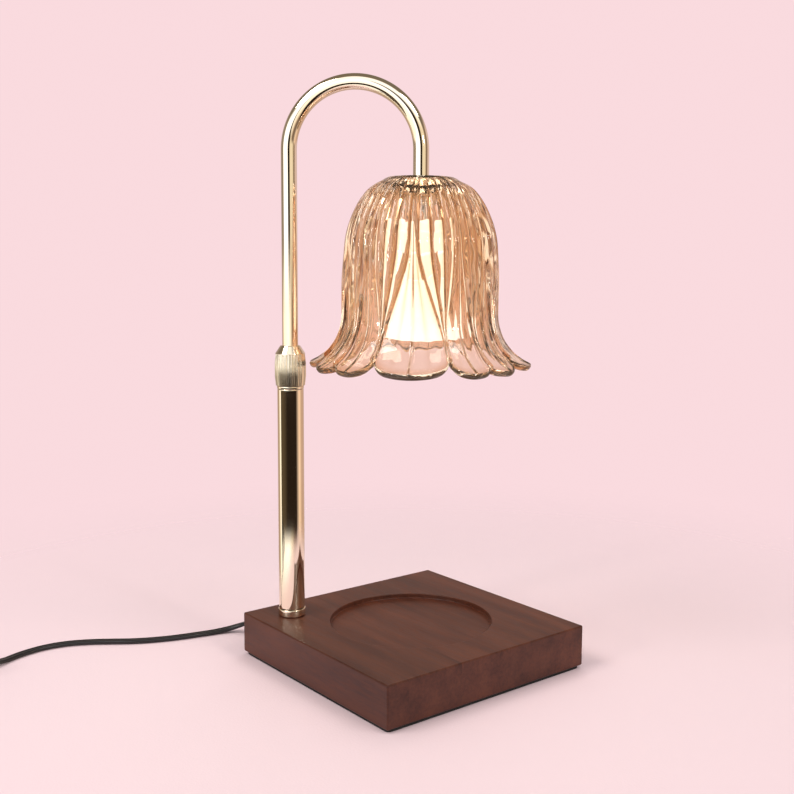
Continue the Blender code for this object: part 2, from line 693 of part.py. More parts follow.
def gooseneck_path(start, end):
    """Centre line from a start height on the pole axis, over the arch and down to an end height."""
    path = [Vector((0, 0, start))]
    for i in range(ARCH_STEPS + 1):
        angle = math.pi * i / ARCH_STEPS
        across = ARCH_RADIUS - ARCH_RADIUS * math.cos(angle)
        path.append(Vector((across, 0, ARCH_CENTRE + ARCH_RADIUS * math.sin(angle))))
    path.append(Vector((ARM_REACH, 0, end)))
    return path


def build_gooseneck(slider_axis, arm_axis):
    path = gooseneck_path(GOOSENECK_BOTTOM, GOOSENECK_END)
    turns = [0.0, *[math.pi * i / ARCH_STEPS for i in range(ARCH_STEPS + 1)], math.pi]

    def ring(centre, turn, radius):
        points = []
        for i in range(TUBE_SIDES):
            angle = math.tau * i / TUBE_SIDES
            across = radius * math.cos(angle)
            offset = (across * math.cos(turn), radius * math.sin(angle), -across * math.sin(turn))
            points.append(centre + Vector(offset))
        return points

    outside = [ring(centre, turn, GOOSENECK_RADIUS) for centre, turn in zip(path, turns)]
    inside = [ring(centre, turn, GOOSENECK_BORE) for centre, turn in zip(path, turns)]
    part("gooseneck_tube", lofted(outside + inside[::-1], closed=True), "polished_gold", arm_axis)

    bush_bottom = GOOSENECK_BOTTOM + RETAINING_RING_HEIGHT + SEAT_GAP
    bush_top = bush_bottom + GUIDE_BUSH_HEIGHT
    bush = [
        (SLEEVE_BORE, bush_bottom),
        (SLEEVE_RADIUS, bush_bottom),
        (SLEEVE_RADIUS, bush_top),
        (SLEEVE_BORE, bush_top),
    ]
    part("guide_bush", turned(bush, 24), "nylon", slider_axis)

    clip_radius = SLEEVE_BORE + RETAINING_RING_WALL
    for name, bottom in (("lower_clip", GOOSENECK_BOTTOM), ("upper_clip", bush_top + SEAT_GAP)):
        top = bottom + RETAINING_RING_HEIGHT
        clip = [(SLEEVE_BORE, bottom), (clip_radius, bottom), (clip_radius, top), (SLEEVE_BORE, top)]
        part(name, turned(clip, 24), "zinc_steel", arm_axis)

    lead = gooseneck_path(GOOSENECK_BOTTOM - LEAD_TAIL, NIPPLE_BOTTOM)
    tube_curve("lamp_lead", lead, LEAD_RADIUS, "white_insulation", 1, parent=arm_axis)


# Pressed-glass shade


def smoothstep(value):
    value = min(1.0, max(0.0, value))
    return value * value * (3 - 2 * value)


def shade_profile():
    """Outer surface from the top's flat to a petal's tip, as (radius, depth) points and their lengths."""
    knots = [(radius * BELL_RADIUS, 0, depth * BELL_DEPTH) for depth, radius in BELL_SHARES]
    edge = knots[-1][0]
    knots += [(edge + reach * FLARE_REACH, 0, BELL_DEPTH + drop * FLARE_DROP) for drop, reach in FLARE_SHARES]
    points = smooth_points(knots, 16)
    return points, running_lengths(points)


def on_profile(profile, share, inward=0.0):
    """Radius and depth at a share of the profile's length, moved inward from the surface."""
    points, lengths = profile
    wanted = share * lengths[-1]
    at = 0
    while at < len(points) - 2 and lengths[at + 1] < wanted:
        at += 1
    along = (wanted - lengths[at]) / (lengths[at + 1] - lengths[at])
    spot = points[at].lerp(points[at + 1], along)
    before = points[max(0, at - 1)]
    after = points[min(len(points) - 1, at + 2)]
    direction = (after - before).normalized()
    return spot.x - inward * direction.z, spot.z + inward * direction.x


def petal_columns():
    """Columns round the shade: petal centre, half width, place across it, rib share and notch depths."""
    columns = []
    unit = math.tau / 16
    angle = -unit * PETAL_SIXTEENTHS[0] / 2
    kinds = PETAL_SIXTEENTHS * PETAL_SETS
    for i, size in enumerate(kinds):
        half = unit * size / 2
        centre = angle + half
        angle += 2 * half
        wide = size > 1
        ribs, panel = (WIDE_SIDE_RIBS, WIDE_PANEL_STEPS) if wide else (NARROW_SIDE_RIBS, NARROW_PANEL_STEPS)
        depths = [
            DEEP_NOTCH_DEPTH if wide or kinds[neighbour % len(kinds)] > 1 else SHALLOW_NOTCH_DEPTH
            for neighbour in (i - 1, i + 1)
        ]
        rib_share = 1 / (2 * ribs + 1)
        places = [-1 + rib_share * k for k in range(2 * ribs)]
        places += [-rib_share + 2 * rib_share * k / panel for k in range(panel)]
        places += [rib_share * (1 + k) for k in range(2 * ribs)]
        columns += [(centre, half, place, rib_share, depths) for place in places]
    return columns


def shade_wall(share):
    """Glass thickness at a share of the way down: even in the bell, more towards the lips."""
    bell_end = INNER_ROW_SHARES[0]
    growth = max(0.0, (share - bell_end) / (1 - bell_end))
    return SHADE_WALL + (SHADE_RIM_WALL - SHADE_WALL) * growth


def shade_column(column, share):
    """Angle, notch depth and height of the relief for a column at a share of the way to its own rim."""
    centre, half, place, rib_share, depths = column
    opening = smoothstep((share - PANEL_START_SHARE) / (PANEL_FULL_SHARE - PANEL_START_SHARE))
    panel = rib_share + (PANEL_WIDTH_SHARE - rib_share) * opening
    side = abs(place)
    if side < rib_share:
        spread = side / rib_share * panel
        relief = -0.5 + (1 - opening) * math.cos(math.pi / 2 * side / rib_share) ** 2
    else:
        along = (side - rib_share) / (1 - rib_share)
        spread = panel + (1 - panel) * along
        wave = -0.5 * math.cos(math.tau * (side - rib_share) / (2 * rib_share))
        merged = smoothstep((share - RIBS_MERGE_SHARE) / (1 - RIBS_MERGE_SHARE))
        relief = wave * (1 - merged) + 0.5 * math.sin(math.pi * min(1.0, 2 * along)) * merged
    depth = depths[0] if place < 0 else depths[1]
    round_off = 1 - math.sqrt(max(0.0, 1 - spread**2))
    return centre + half * math.copysign(spread, place), depth * round_off, relief


def build_shade(shade_axis):
    profile = shade_profile()
    full = profile[1][-1]
    columns = petal_columns()

    def spot(angle, radius, depth):
        angle += SHADE_TURN
        return (radius * math.cos(angle), radius * math.sin(angle), SHADE_TOP - depth)

    def fine_ring(share, inward=0.0, past=0.0):
        ring = []
        for column in columns:
            angle, notch, relief = shade_column(column, share)
            own = share * (1 - notch / full) + past / full
            lift = RIB_RELIEF * relief if inward == 0.0 else 0.0
            radius, depth = on_profile(profile, own, inward - lift)
            ring.append(spot(angle, radius, depth))
        return ring

    def coarse_ring(radius, depth):
        return [spot(math.tau * i / INNER_COLUMNS, radius, depth) for i in range(INNER_COLUMNS)]

    fine = [fine_ring(share) for share in OUTER_ROW_SHARES]
    fine += [fine_ring(1.0, SHADE_RIM_WALL * share, SHADE_LIP) for share in LIP_ROW_SHARES]
    fine += [fine_ring(share, shade_wall(share)) for share in (1.0, INNER_FLARE_ROW_SHARE)]
    coarse = [coarse_ring(*on_profile(profile, share, shade_wall(share))) for share in INNER_ROW_SHARES]
    ceiling = SHADE_TOP - SHADE_CEILING
    seat_radius = COVER_DIAMETER / 2 + SEAT_GAP
    coarse += [
        coarse_ring(BELL_TOP_RADIUS, ceiling),
        coarse_ring(NIPPLE_CLEAR, ceiling),
        coarse_ring(NIPPLE_CLEAR, SHADE_SEAT_DEPTH),
        coarse_ring(seat_radius, SHADE_SEAT_DEPTH),
        coarse_ring(seat_radius, 0),
    ]
    bm = bmesh.new()
    fine_loops = [[bm.verts.new(point) for point in ring] for ring in fine]
    coarse_loops = [[bm.verts.new(point) for point in ring] for ring in coarse]
    for loops in (fine_loops, coarse_loops):
        for lower, upper in zip(loops, loops[1:]):
            for i in range(len(lower)):
                j = (i + 1) % len(lower)
                bm.faces.new((lower[i], lower[j], upper[j], upper[i]))
    zip_rings(bm, fine_loops[-1], coarse_loops[0])
    zip_rings(bm, fine_loops[0], coarse_loops[-1])
    part("shade_glass", bm, "champagne_glass", shade_axis)


def zip_rings(bm, many, few):
    """Triangles between two rings with unlike numbers of points, matched by their angle."""

    def angle_of(vert):
        return (math.atan2(vert.co.y, vert.co.x) - SHADE_TURN + ANGLE_SLACK) % math.tau

    many = sorted(many, key=angle_of)
    few = sorted(few, key=angle_of)
    i = j = 0
    while i < len(many) or j < len(few):
        next_many = angle_of(many[i + 1]) if i + 1 < len(many) else math.tau
        next_few = angle_of(few[j + 1]) if j + 1 < len(few) else math.tau
        a, b = many[i % len(many)], few[j % len(few)]
        if j >= len(few) or (i < len(many) and next_many <= next_few + ANGLE_SLACK):
            bm.faces.new((a, many[(i + 1) % len(many)], b))
            i += 1
        else:
            bm.faces.new((a, few[(j + 1) % len(few)], b))
            j += 1


def build_shade_fastening(shade_axis):
    nipple = [
        (NIPPLE_BORE, NIPPLE_BOTTOM),
        (NIPPLE_RADIUS, NIPPLE_BOTTOM),
        (NIPPLE_RADIUS, GOOSENECK_END + NIPPLE_IN_TUBE),
        (NIPPLE_BORE, GOOSENECK_END + NIPPLE_IN_TUBE),
    ]
    part("nipple", turned(nipple, 24), "zinc_steel", shade_axis)
    cover = [
        (NIPPLE_CLEAR, COVER_TOP - COVER_THICKNESS),
        (COVER_DIAMETER / 2, COVER_TOP - COVER_THICKNESS),
        (COVER_DIAMETER / 2, COVER_TOP),
        (NIPPLE_CLEAR, COVER_TOP),
    ]
    part("cover_disc", turned(cover, 32), "polished_gold", shade_axis)
    cup_radius = CUP_DIAMETER / 2
    plate = CUP_TOP - CUP_PLATE
    cup = [
        (NIPPLE_CLEAR, plate),
        (cup_radius - CUP_PLATE - CUP_DRAFT, plate),
        (cup_radius - CUP_PLATE - CUP_DRAFT, CUP_TOP - CUP_DEPTH),
        (cup_radius - CUP_DRAFT, CUP_TOP - CUP_DEPTH),
        (cup_radius, CUP_TOP),
        (NIPPLE_CLEAR, CUP_TOP),
    ]
    part("retaining_cup", turned(cup, 24), "satin_gold", shade_axis)

    boss_top = SHADE_NUT_TOP - SHADE_NUT_HEIGHT
    steps = 24
    flats = hexagon(SHADE_NUT_FLATS)

    def ring(radius_of, height):
        angles = [math.tau * i / steps for i in range(steps)]
        return [(radius_of(a) * math.cos(a), radius_of(a) * math.sin(a), height) for a in angles]

    boss = SHADE_NUT_BOSS_DIAMETER / 2
    rings = [
        ring(lambda a: NIPPLE_CLEAR, SHADE_NUT_BOTTOM),
        ring(lambda a: boss, SHADE_NUT_BOTTOM),
        ring(lambda a: boss, boss_top),
        ring(flats, boss_top),
        ring(flats, SHADE_NUT_TOP),
        ring(lambda a: NIPPLE_CLEAR, SHADE_NUT_TOP),
    ]
    part("shade_nut", lofted(rings, closed=True), "nickel", shade_axis)

    slab = rounded_slab(BRACKET_WIDTH, BRACKET_LENGTH, BRACKET_CORNER, BRACKET_BOTTOM, BRACKET_TOP)
    bracket = part("holder_bracket", slab, "zinc_steel", shade_axis)
    bore = cylinder(NIPPLE_CLEAR, BRACKET_BOTTOM - CUT_OVERRUN, BRACKET_TOP + CUT_OVERRUN, 24)
    cut(bracket, cutter("bracket_bore_cutter", bore, shade_axis))
    nut_bottom = BRACKET_NUT_TOP - BRACKET_NUT_HEIGHT
    six_sides = hexagon(BRACKET_NUT_FLATS)
    nut = hollow_prism(six_sides, NIPPLE_CLEAR, nut_bottom, BRACKET_NUT_TOP, STUD_NUT_CHAMFER, 12)
    part("bracket_nut", nut, "zinc_steel", shade_axis)
    return bracket


def part_copies(names, bm, places, finish_name, parent):
    """The same body as a part of its own at each place."""
    for name, place in zip(names, places):
        part(name, bm.copy(), finish_name, parent, place)
    bm.free()


def join_copies(bm, places):
    """The same body at several places, in one bmesh for a cutter."""
    mesh = bpy.data.meshes.new("copy")
    bm.to_mesh(mesh)
    bm.free()
    joined = bmesh.new()
    for place in places:
        start = len(joined.verts)
        joined.from_mesh(mesh)
        joined.verts.ensure_lookup_table()
        bmesh.ops.translate(joined, vec=place, verts=joined.verts[start:])
    bpy.data.meshes.remove(mesh)
    return joined


def build_lampholder(shade_axis, bracket):
    """Ceramic holder hung from the bracket by two screws, with curved keyholes for the lamp's pins."""
    radius = HOLDER_DIAMETER / 2
    outline = [
        (0, HOLDER_BOTTOM),
        (radius, HOLDER_BOTTOM),
        (radius, HOLDER_TOP - HOLDER_CHAMFER),
        (radius - HOLDER_CHAMFER, HOLDER_TOP),
        (0, HOLDER_TOP),
    ]
    holder = part("lampholder", turned(outline, 32), "ceramic", shade_axis)

    screw_radius = HOLDER_SCREW_DIAMETER / 2
    screw_places = [(0, side * HOLDER_SCREW_SPACING / 2, 0) for side in (-1, 1)]
    hole_bottom = HOLDER_TOP - HOLDER_SCREW_GRIP - SEAT_GAP
    hole = cylinder(screw_radius + SEAT_GAP, hole_bottom, BRACKET_TOP + CUT_OVERRUN, 16)
    holes = cutter("holder_screw_hole_cutter", join_copies(hole, screw_places), shade_axis)
    cut(holder, holes)
    cut(bracket, holes)

    head_bottom = BRACKET_TOP + SEAT_GAP
    head_top = head_bottom + HOLDER_SCREW_HEAD_HEIGHT
    screw = turned(
        [
            (0, HOLDER_TOP - HOLDER_SCREW_GRIP),
            (screw_radius, HOLDER_TOP - HOLDER_SCREW_GRIP),
            (screw_radius, head_bottom),
            (HOLDER_SCREW_HEAD / 2, head_bottom),
            (HOLDER_SCREW_HEAD / 2, head_top),
            (0, head_top),
        ],
        16,
    )
    part_copies(("holder_screw_1", "holder_screw_2"), screw, screw_places, "zinc_steel", shade_axis)

    slots = bmesh.new()
    half_width = PIN_HEAD_DIAMETER / 2 + SEAT_GAP
    for side in (0, math.pi):
        ring = []
        for angle, way in ((side + PIN_TWIST, half_width), (side, -half_width)):
            out = Vector((math.cos(angle), math.sin(angle), 0))
            onward = Vector((-math.sin(angle), math.cos(angle), 0))
            for i in range(7):
                swing = math.pi * i / 6
                ring.append(out * PIN_SPACING / 2 + way * (out * math.cos(swing) + onward * math.sin(swing)))
        lower = [(p.x, p.y, HOLDER_BOTTOM - CUT_OVERRUN) for p in ring]
        upper = [(p.x, p.y, HOLDER_BOTTOM + PIN_SLOT_DEPTH) for p in ring]
        piece = lofted([lower, upper], closed=False)
        mesh = bpy.data.meshes.new("slot")
        piece.to_mesh(mesh)
        piece.free()
        slots.from_mesh(mesh)
        bpy.data.meshes.remove(mesh)
    cut(holder, cutter("pin_slot_cutter", slots, shade_axis))

    for side in (-1, 1):
        start = Vector((side * LEAD_RADIUS / 2, 0, NIPPLE_BOTTOM - SEAT_GAP))
        end = Vector((side * HOLDER_WIRE_SPREAD, 0, HOLDER_TOP + SEAT_GAP))
        knots = [start, (start.x, 0, start.lerp(end, 1 / 4).z), (end.x, 0, start.lerp(end, 3 / 4).z), end]
        name = "live_wire" if side < 0 else "neutral_wire"
        wire = spaced(smooth_points(knots), HOLDER_WIRE_DIAMETER)
        tube_curve(name, wire, HOLDER_WIRE_DIAMETER / 2, "white_insulation", 1, parent=shade_axis)


def build_bulb(bulb_axis):
    base_radius = BULB_BASE_DIAMETER / 2
    base_bottom = BULB_TOP - BULB_BASE_HEIGHT
    chamfer = HOLDER_CHAMFER / 2
    outline = [
        (0, base_bottom),
        (base_radius - chamfer, base_bottom),
        (base_radius, base_bottom + chamfer),
        (base_radius, BULB_TOP - chamfer),
        (base_radius - chamfer, BULB_TOP),
        (0, BULB_TOP),
    ]
    base = part("bulb_base", turned(outline, 24), "ceramic", bulb_axis)
    pin_places = [(side * PIN_SPACING / 2, 0, 0) for side in (-1, 1)]
    hole = cylinder(PIN_DIAMETER / 2 + SEAT_GAP, BULB_TOP - PIN_ROOT - SEAT_GAP, BULB_TOP + CUT_OVERRUN, 16)
    cut(base, cutter("pin_hole_cutter", join_copies(hole, pin_places), bulb_axis))
    tip = BULB_TOP + PIN_LENGTH
    pin = turned(
        [
            (0, BULB_TOP - PIN_ROOT),
            (PIN_DIAMETER / 2, BULB_TOP - PIN_ROOT),
            (PIN_DIAMETER / 2, tip - PIN_HEAD_HEIGHT),
            (PIN_HEAD_DIAMETER / 2, tip - PIN_HEAD_HEIGHT),
            (PIN_HEAD_DIAMETER / 2, tip),
            (0, tip),
        ],
        16,
    )
    part_copies(("bulb_pin_1", "bulb_pin_2"), pin, pin_places, "nickel", bulb_axis)

    height = base_bottom - SEAT_GAP - BULB_FACE
    rim = BULB_DIAMETER / 2
    outside = [(radius * rim, BULB_FACE + up * height) for up, radius in REFLECTOR_SHARES]
    inside = [(radius - BULB_WALL, z) for radius, z in outside[:-1]]
    floor_height = outside[-1][1] - BULB_WALL
    inside.append((outside[-1][0] - 2 * BULB_WALL, floor_height))
    inside.append((CAPSULE_DIAMETER / 2 + SEAT_GAP, floor_height))
    neck = (CAPSULE_DIAMETER / 2 + SEAT_GAP, outside[-1][1])
    part("bulb_reflector", turned(outside + [neck] + inside[::-1], 24), "coated_glass", bulb_axis)

    lens_bottom = BULB_FACE + BULB_LENS_INSET
    lens_top = lens_bottom + BULB_LENS_THICKNESS
    lens_radius = rim - BULB_WALL - SEAT_GAP
    shrink = 1 - REFLECTOR_SHARES[1][1]
    lens_radius -= shrink * rim
    lens = [(0, lens_bottom), (lens_radius, lens_bottom), (lens_radius, lens_top), (0, lens_top)]
    part("bulb_lens", turned(lens, 24), "lamp_glass", bulb_axis)
    capsule_top = outside[-1][1] - SEAT_GAP
    capsule_radius = CAPSULE_DIAMETER / 2
    nose = capsule_top - CAPSULE_LENGTH + capsule_radius
    capsule = [(0, nose - capsule_radius)]
    for i in (1, 2, 3):
        angle = math.pi / 2 * i / 3
        capsule.append((capsule_radius * math.sin(angle), nose - capsule_radius * math.cos(angle)))
    capsule += [(capsule_radius, capsule_top), (0, capsule_top)]
    part("bulb_capsule", turned(capsule, 16), "lamp_glass", bulb_axis)


# Cord and what is on it


def build_strain_relief(stud_bottom):
    """Grooved tapered relief, turned round Z and laid along -X, and the lead that goes on into the pole."""
    barrel = RELIEF_BARREL_DIAMETER / 2
    flange = RELIEF_FLANGE_DIAMETER / 2
    root = CORD_WIDTH / 2 + RELIEF_TAIL_WALL
    tip = CORD_WIDTH / 2 + RELIEF_TIP_WALL
    seat = SEAT_GAP
    outline = [(0, -RELIEF_BARREL_LENGTH), (barrel, -RELIEF_BARREL_LENGTH), (barrel, seat), (flange, seat)]
    outline.append((flange, seat + RELIEF_FLANGE_THICKNESS))
    start = seat + RELIEF_FLANGE_THICKNESS
    pitch = RELIEF_TAIL_LENGTH / (2 * RELIEF_GROOVES + 1)
    for i in range(2 * RELIEF_GROOVES + 1):
        depth = RELIEF_GROOVE_DEPTH if i % 2 else 0.0
        for along in (i, i + 1):
            share = along / (2 * RELIEF_GROOVES + 1)
            outline.append((root + (tip - root) * share - depth, start + along * pitch))
    end = start + RELIEF_TAIL_LENGTH
    outline.append((0, end))
    face = (-BASE_SIDE / 2, POLE_PLACE, EXIT_HEIGHT)
    part("strain_relief", turned(outline, 16), "black_vinyl", place=face, turn=(0, -math.tau / 4, 0))

    inner_end = -BASE_SIDE / 2 + RELIEF_BARREL_LENGTH + SEAT_GAP
    sag = (BASE_BOTTOM + stud_bottom) / 2
    knots = [
        (inner_end, POLE_PLACE, EXIT_HEIGHT),
        (inner_end + LEAD_RADIUS, POLE_PLACE, EXIT_HEIGHT),
        ((inner_end + POLE_PLACE) / 2, POLE_PLACE, (EXIT_HEIGHT + sag) / 2),
        (POLE_PLACE - LEAD_RADIUS, POLE_PLACE, sag),
        (POLE_PLACE, POLE_PLACE, stud_bottom + LEAD_RADIUS),
        (POLE_PLACE, POLE_PLACE, (stud_bottom + SPIGOT_TOP) / 2),
        (POLE_PLACE, POLE_PLACE, SPIGOT_TOP - LEAD_TAIL),
    ]
    path = spaced(smooth_points(knots), 2 * LEAD_RADIUS)
    tube_curve("base_lead", path, LEAD_RADIUS, "white_insulation", 1)
    return Vector((-BASE_SIDE / 2 - end - SEAT_GAP, POLE_PLACE, EXIT_HEIGHT))


def build_dimmer():
    """Two-shell inline dimmer lying along the cord, with a thumb wheel on an axle in the shells' joint."""
    x, far_y = DIMMER_FAR_END
    place = (x, far_y - DIMMER_LENGTH / 2, 0)
    dimmer_axis = axis_empty("dimmer_axis", place)
    sizes = (DIMMER_WIDTH, DIMMER_LENGTH, DIMMER_CORNER)
    split = FLOOR_CLEARANCE + DIMMER_LOWER_HEIGHT
    upper_bottom = split + SEAT_GAP
    upper_top = upper_bottom + DIMMER_UPPER_HEIGHT
    lower_slab = rounded_slab(*sizes, FLOOR_CLEARANCE, split, bottom_edge=DIMMER_EDGE)
    upper_slab = rounded_slab(*sizes, upper_bottom, upper_top, top_edge=DIMMER_EDGE)
    lower = part("dimmer_lower_shell", lower_slab, "black_vinyl", dimmer_axis)
    upper = part("dimmer_upper_shell", upper_slab, "black_vinyl", dimmer_axis)

    wheel_height = split + SEAT_GAP / 2
    wheel_radius = WHEEL_DIAMETER / 2
    pocket_radius = wheel_radius + WHEEL_SIDE_GAP
    on_side = {"place": (0, 0, wheel_height), "turn": (0, math.tau / 4, 0)}
    pocket_half = WHEEL_THICKNESS / 2 + WHEEL_SIDE_GAP
    groove_half = AXLE_LENGTH / 2 + SEAT_GAP
    groove_radius = AXLE_DIAMETER / 2 + SEAT_GAP
    outline = [
        (0, -groove_half),
        (groove_radius, -groove_half),
        (groove_radius, -pocket_half),
        (pocket_radius, -pocket_half),
        (pocket_radius, pocket_half),
        (groove_radius, pocket_half),
        (groove_radius, groove_half),
        (0, groove_half),
    ]
    pocket = cutter("wheel_pocket_cutter", turned(outline, 24), dimmer_axis, **on_side)
    for shell in (lower, upper):
        cut(shell, pocket)
    axle_bm = cylinder(AXLE_DIAMETER / 2, -AXLE_LENGTH / 2, AXLE_LENGTH / 2, 16)
    part("dimmer_axle", axle_bm, "zinc_steel", dimmer_axis, **on_side)

    wheel_axis = axis_empty("dimmer_wheel_axis", (0, 0, wheel_height), dimmer_axis)
    pitch = math.tau / WHEEL_TEETH

    def rim(angle):
        return wheel_radius - WHEEL_TOOTH * (0 if (angle / pitch) % 1 < 0.5 else 1)

    half = WHEEL_THICKNESS / 2
    wheel = hollow_prism(rim, groove_radius, -half, half, WHEEL_TOOTH, 2 * WHEEL_TEETH)
    part("dimmer_wheel", wheel, "black_vinyl", wheel_axis, turn=(0, math.tau / 4, 0))

    screw_y = DIMMER_LENGTH / 2 - DIMMER_SCREW_END_INSET
    places = [(0, side * screw_y, 0) for side in (-1, 1)]
    head_bottom = FLOOR_CLEARANCE + DIMMER_SCREW_SINK
    head_top = head_bottom + DIMMER_SCREW_HEAD_HEIGHT
    tip = head_bottom + DIMMER_SCREW_LENGTH
    head, shank = DIMMER_SCREW_HEAD / 2, DIMMER_SCREW_DIAMETER / 2
    outline = [(0, head_bottom), (head, head_bottom), (head, head_top)]
    outline += [(shank, head_top), (shank, tip), (0, tip)]
    part_copies(("dimmer_screw_1", "dimmer_screw_2"), turned(outline, 12), places, "zinc_steel", dimmer_axis)
    gap = SEAT_GAP
    bore = turned(
        [
            (0, FLOOR_CLEARANCE - CUT_OVERRUN),
            (head + gap, FLOOR_CLEARANCE - CUT_OVERRUN),
            (head + gap, head_top + gap),
            (shank + gap, head_top + gap),
            (shank + gap, tip + gap),
            (0, tip + gap),
        ],
        12,
    )
    bores = cutter("dimmer_screw_cutter", join_copies(bore, places), dimmer_axis)
    cut(lower, bores)
    cut(upper, bores)


def coil_centre():
    """The coil lies to the left of the line that the cord leaves the dimmer on."""
    x, far_y = DIMMER_FAR_END
    start_y = far_y - DIMMER_LENGTH - LINK_LENGTH - CORD_WIDTH
    outer = COIL_MEAN_RADIUS + COIL_PITCH * COIL_TURNS / COIL_LAYERS / 2
    return Vector((x - outer, start_y, CORD_FLOOR_HEIGHT + COIL_LIFT))


def coil_points():
    """A lead wound clockwise: in to the middle on the upper layer, down, and out again on the lower one."""
    centre = coil_centre()
    half_turns = math.pi * COIL_TURNS
    inner = COIL_MEAN_RADIUS - COIL_PITCH * COIL_TURNS / COIL_LAYERS / 2
    rounding = COIL_TURN_ROUNDING
    steepest = COIL_PITCH / math.tau
    shift = steepest * (half_turns - math.sqrt(half_turns**2 + rounding**2))
    points = []
    steps = COIL_POINTS_PER_TURN * COIL_TURNS
    for i in range(steps + 1):
        turn = math.tau * i / COIL_POINTS_PER_TURN
        from_middle = turn - half_turns
        radius = inner + steepest * math.sqrt(from_middle**2 + rounding**2) + shift
        height = smoothstep(0.5 - from_middle / math.pi)
        x = centre.x + radius * math.cos(-turn)
        y = centre.y + radius * math.sin(-turn)
        points.append(Vector((x, y, centre.z + COIL_LAYER_STEP * height)))
    before = points[0] + Vector((0, CORD_WIDTH, 0))
    after = points[-1] - Vector((0, CORD_WIDTH, 0))
    return [before, *points, after]


def least_gap(points):
    """Least distance between two turns' surfaces, with the height stretched until the lead is round."""
    stretched = [Vector((p.x, p.y, p.z / CORD_FLATTENING)) for p in points]
    lengths = running_lengths(stretched)
    least = math.inf
    for i, here in enumerate(stretched):
        for j in range(i + 1, len(stretched)):
            if lengths[j] - lengths[i] > math.pi * CORD_WIDTH:
                inside_lead = CORD_WIDTH / (stretched[j] - here).length
                least = min(least, (points[j] - points[i]).length * (1 - inside_lead))
    return least


def build_tie():
    """A strap round all the turns, on the side of the coil away from its ends."""
    centre = coil_centre()
    across = COIL_PITCH * (COIL_TURNS / COIL_LAYERS - 1) / 2 + CORD_WIDTH / 2 + TIE_SIDE_SLACK
    bottom = centre.z - CORD_THICKNESS / 2 - TIE_SLACK
    top = centre.z + COIL_LAYER_STEP + CORD_THICKNESS / 2 + TIE_SLACK
    middle = (top + bottom) / 2
    half = (top - bottom) / 2

    def loop(grow, y):
        flat = rounded_rectangle(2 * (across + grow), 2 * (half + grow), half * TIE_CORNER_SHARE + grow, 0, 2)
        return [(x, y, z) for x, z, _ in flat]

    w = TIE_WIDTH / 2
    rings = [loop(0, -w), loop(TIE_THICKNESS, -w), loop(TIE_THICKNESS, w), loop(0, w)]
    place = (centre.x - COIL_MEAN_RADIUS, centre.y, middle)
    part("cord_tie", lofted(rings, closed=True), "black_vinyl", place=place)


def build_plug():
    """Two-blade plug that lies on the floor, with its neck towards the cord and its blades along +Y."""
    x, y = PLUG_NECK_AT
    height = PLUG_HEIGHT / 2 + FLOOR_CLEARANCE
    plug_axis = axis_empty("plug_axis", (x, y, height))
    rings = []
    for along, size in PLUG_SHARES:
        width = PLUG_NECK_WIDTH + (PLUG_WIDTH - PLUG_NECK_WIDTH) * size
        tall = PLUG_NECK_HEIGHT + (PLUG_HEIGHT - PLUG_NECK_HEIGHT) * size
        flat = rounded_rectangle(width, tall, tall * PLUG_CORNER_SHARE, 0)
        rings.append([(px, along * PLUG_LENGTH, pz) for px, pz, _ in flat])
    body = part("plug_body", lofted(rings, closed=False), "black_vinyl", plug_axis)
    face = PLUG_LENGTH

    def blade(grow, start, end):
        bm = bmesh.new()
        bmesh.ops.create_cube(bm, size=1)
        size = (BLADE_THICKNESS + 2 * grow, end - start, BLADE_HEIGHT + 2 * grow)
        bmesh.ops.scale(bm, vec=size, verts=bm.verts)
        bmesh.ops.translate(bm, vec=(0, (start + end) / 2, 0), verts=bm.verts)
        return bm

    places = [(side * BLADE_SPACING / 2, 0, 0) for side in (-1, 1)]
    slot = blade(SEAT_GAP, face - BLADE_ROOT - SEAT_GAP, face + CUT_OVERRUN)
    cut(body, cutter("blade_slot_cutter", join_copies(slot, places), plug_axis))
    bare_blade = blade(0.0, face - BLADE_ROOT, face + BLADE_LENGTH)
    part_copies(("plug_blade_1", "plug_blade_2"), bare_blade, places, "blade_brass", plug_axis)
    return Vector((x, y - SEAT_GAP, height))


def build_cord(exit_point, plug_entry):
    x, far_y = DIMMER_FAR_END
    entry = Vector((x, far_y + SEAT_GAP, DIMMER_CORD_HEIGHT))
    lead_knots = [exit_point, *LEAD_ROUTE, entry]
    lead = spaced(smooth_points(lead_knots), CORD_SPACING)
    straighten_ends(lead, (-1, 0, 0), (0, -1, 0))
    tube_curve("cord_lead", lead, CORD_WIDTH / 2, "black_vinyl", 2, CORD_FLATTENING)

    coil = coil_points()
    outlet = Vector((x, far_y - DIMMER_LENGTH - SEAT_GAP, DIMMER_CORD_HEIGHT))
    meet = coil[0] + Vector((0, SEAT_GAP, 0))
    link = spaced([outlet, meet], CORD_WIDTH)
    straighten_ends(link, (0, -1, 0), (0, -1, 0))
    tube_curve("cord_link", link, CORD_WIDTH / 2, "black_vinyl", 2, CORD_FLATTENING)

    tube_curve("cord_coil", coil, CORD_WIDTH / 2, "black_vinyl", 1, CORD_FLATTENING)
    tail_start = coil[-1] - Vector((0, SEAT_GAP, 0))
    tail = spaced(smooth_points([tail_start, *TAIL_ROUTE, plug_entry]), CORD_SPACING)
    straighten_ends(tail, (0, -1, 0), (0, 1, 0))
    tube_curve("cord_tail", tail, CORD_WIDTH / 2, "black_vinyl", 2, CORD_FLATTENING)

    lengths = [running_lengths(stretch)[-1] for stretch in (lead, link, coil, tail)]
    print("coil: least gap between turns", round(least_gap(coil) * 1000, 2), "mm")
    print("cord: lead, link, coil, tail", [round(length, 4) for length in lengths])
    print("cord: whole length", round(sum(lengths) + DIMMER_LENGTH, 3), "m")


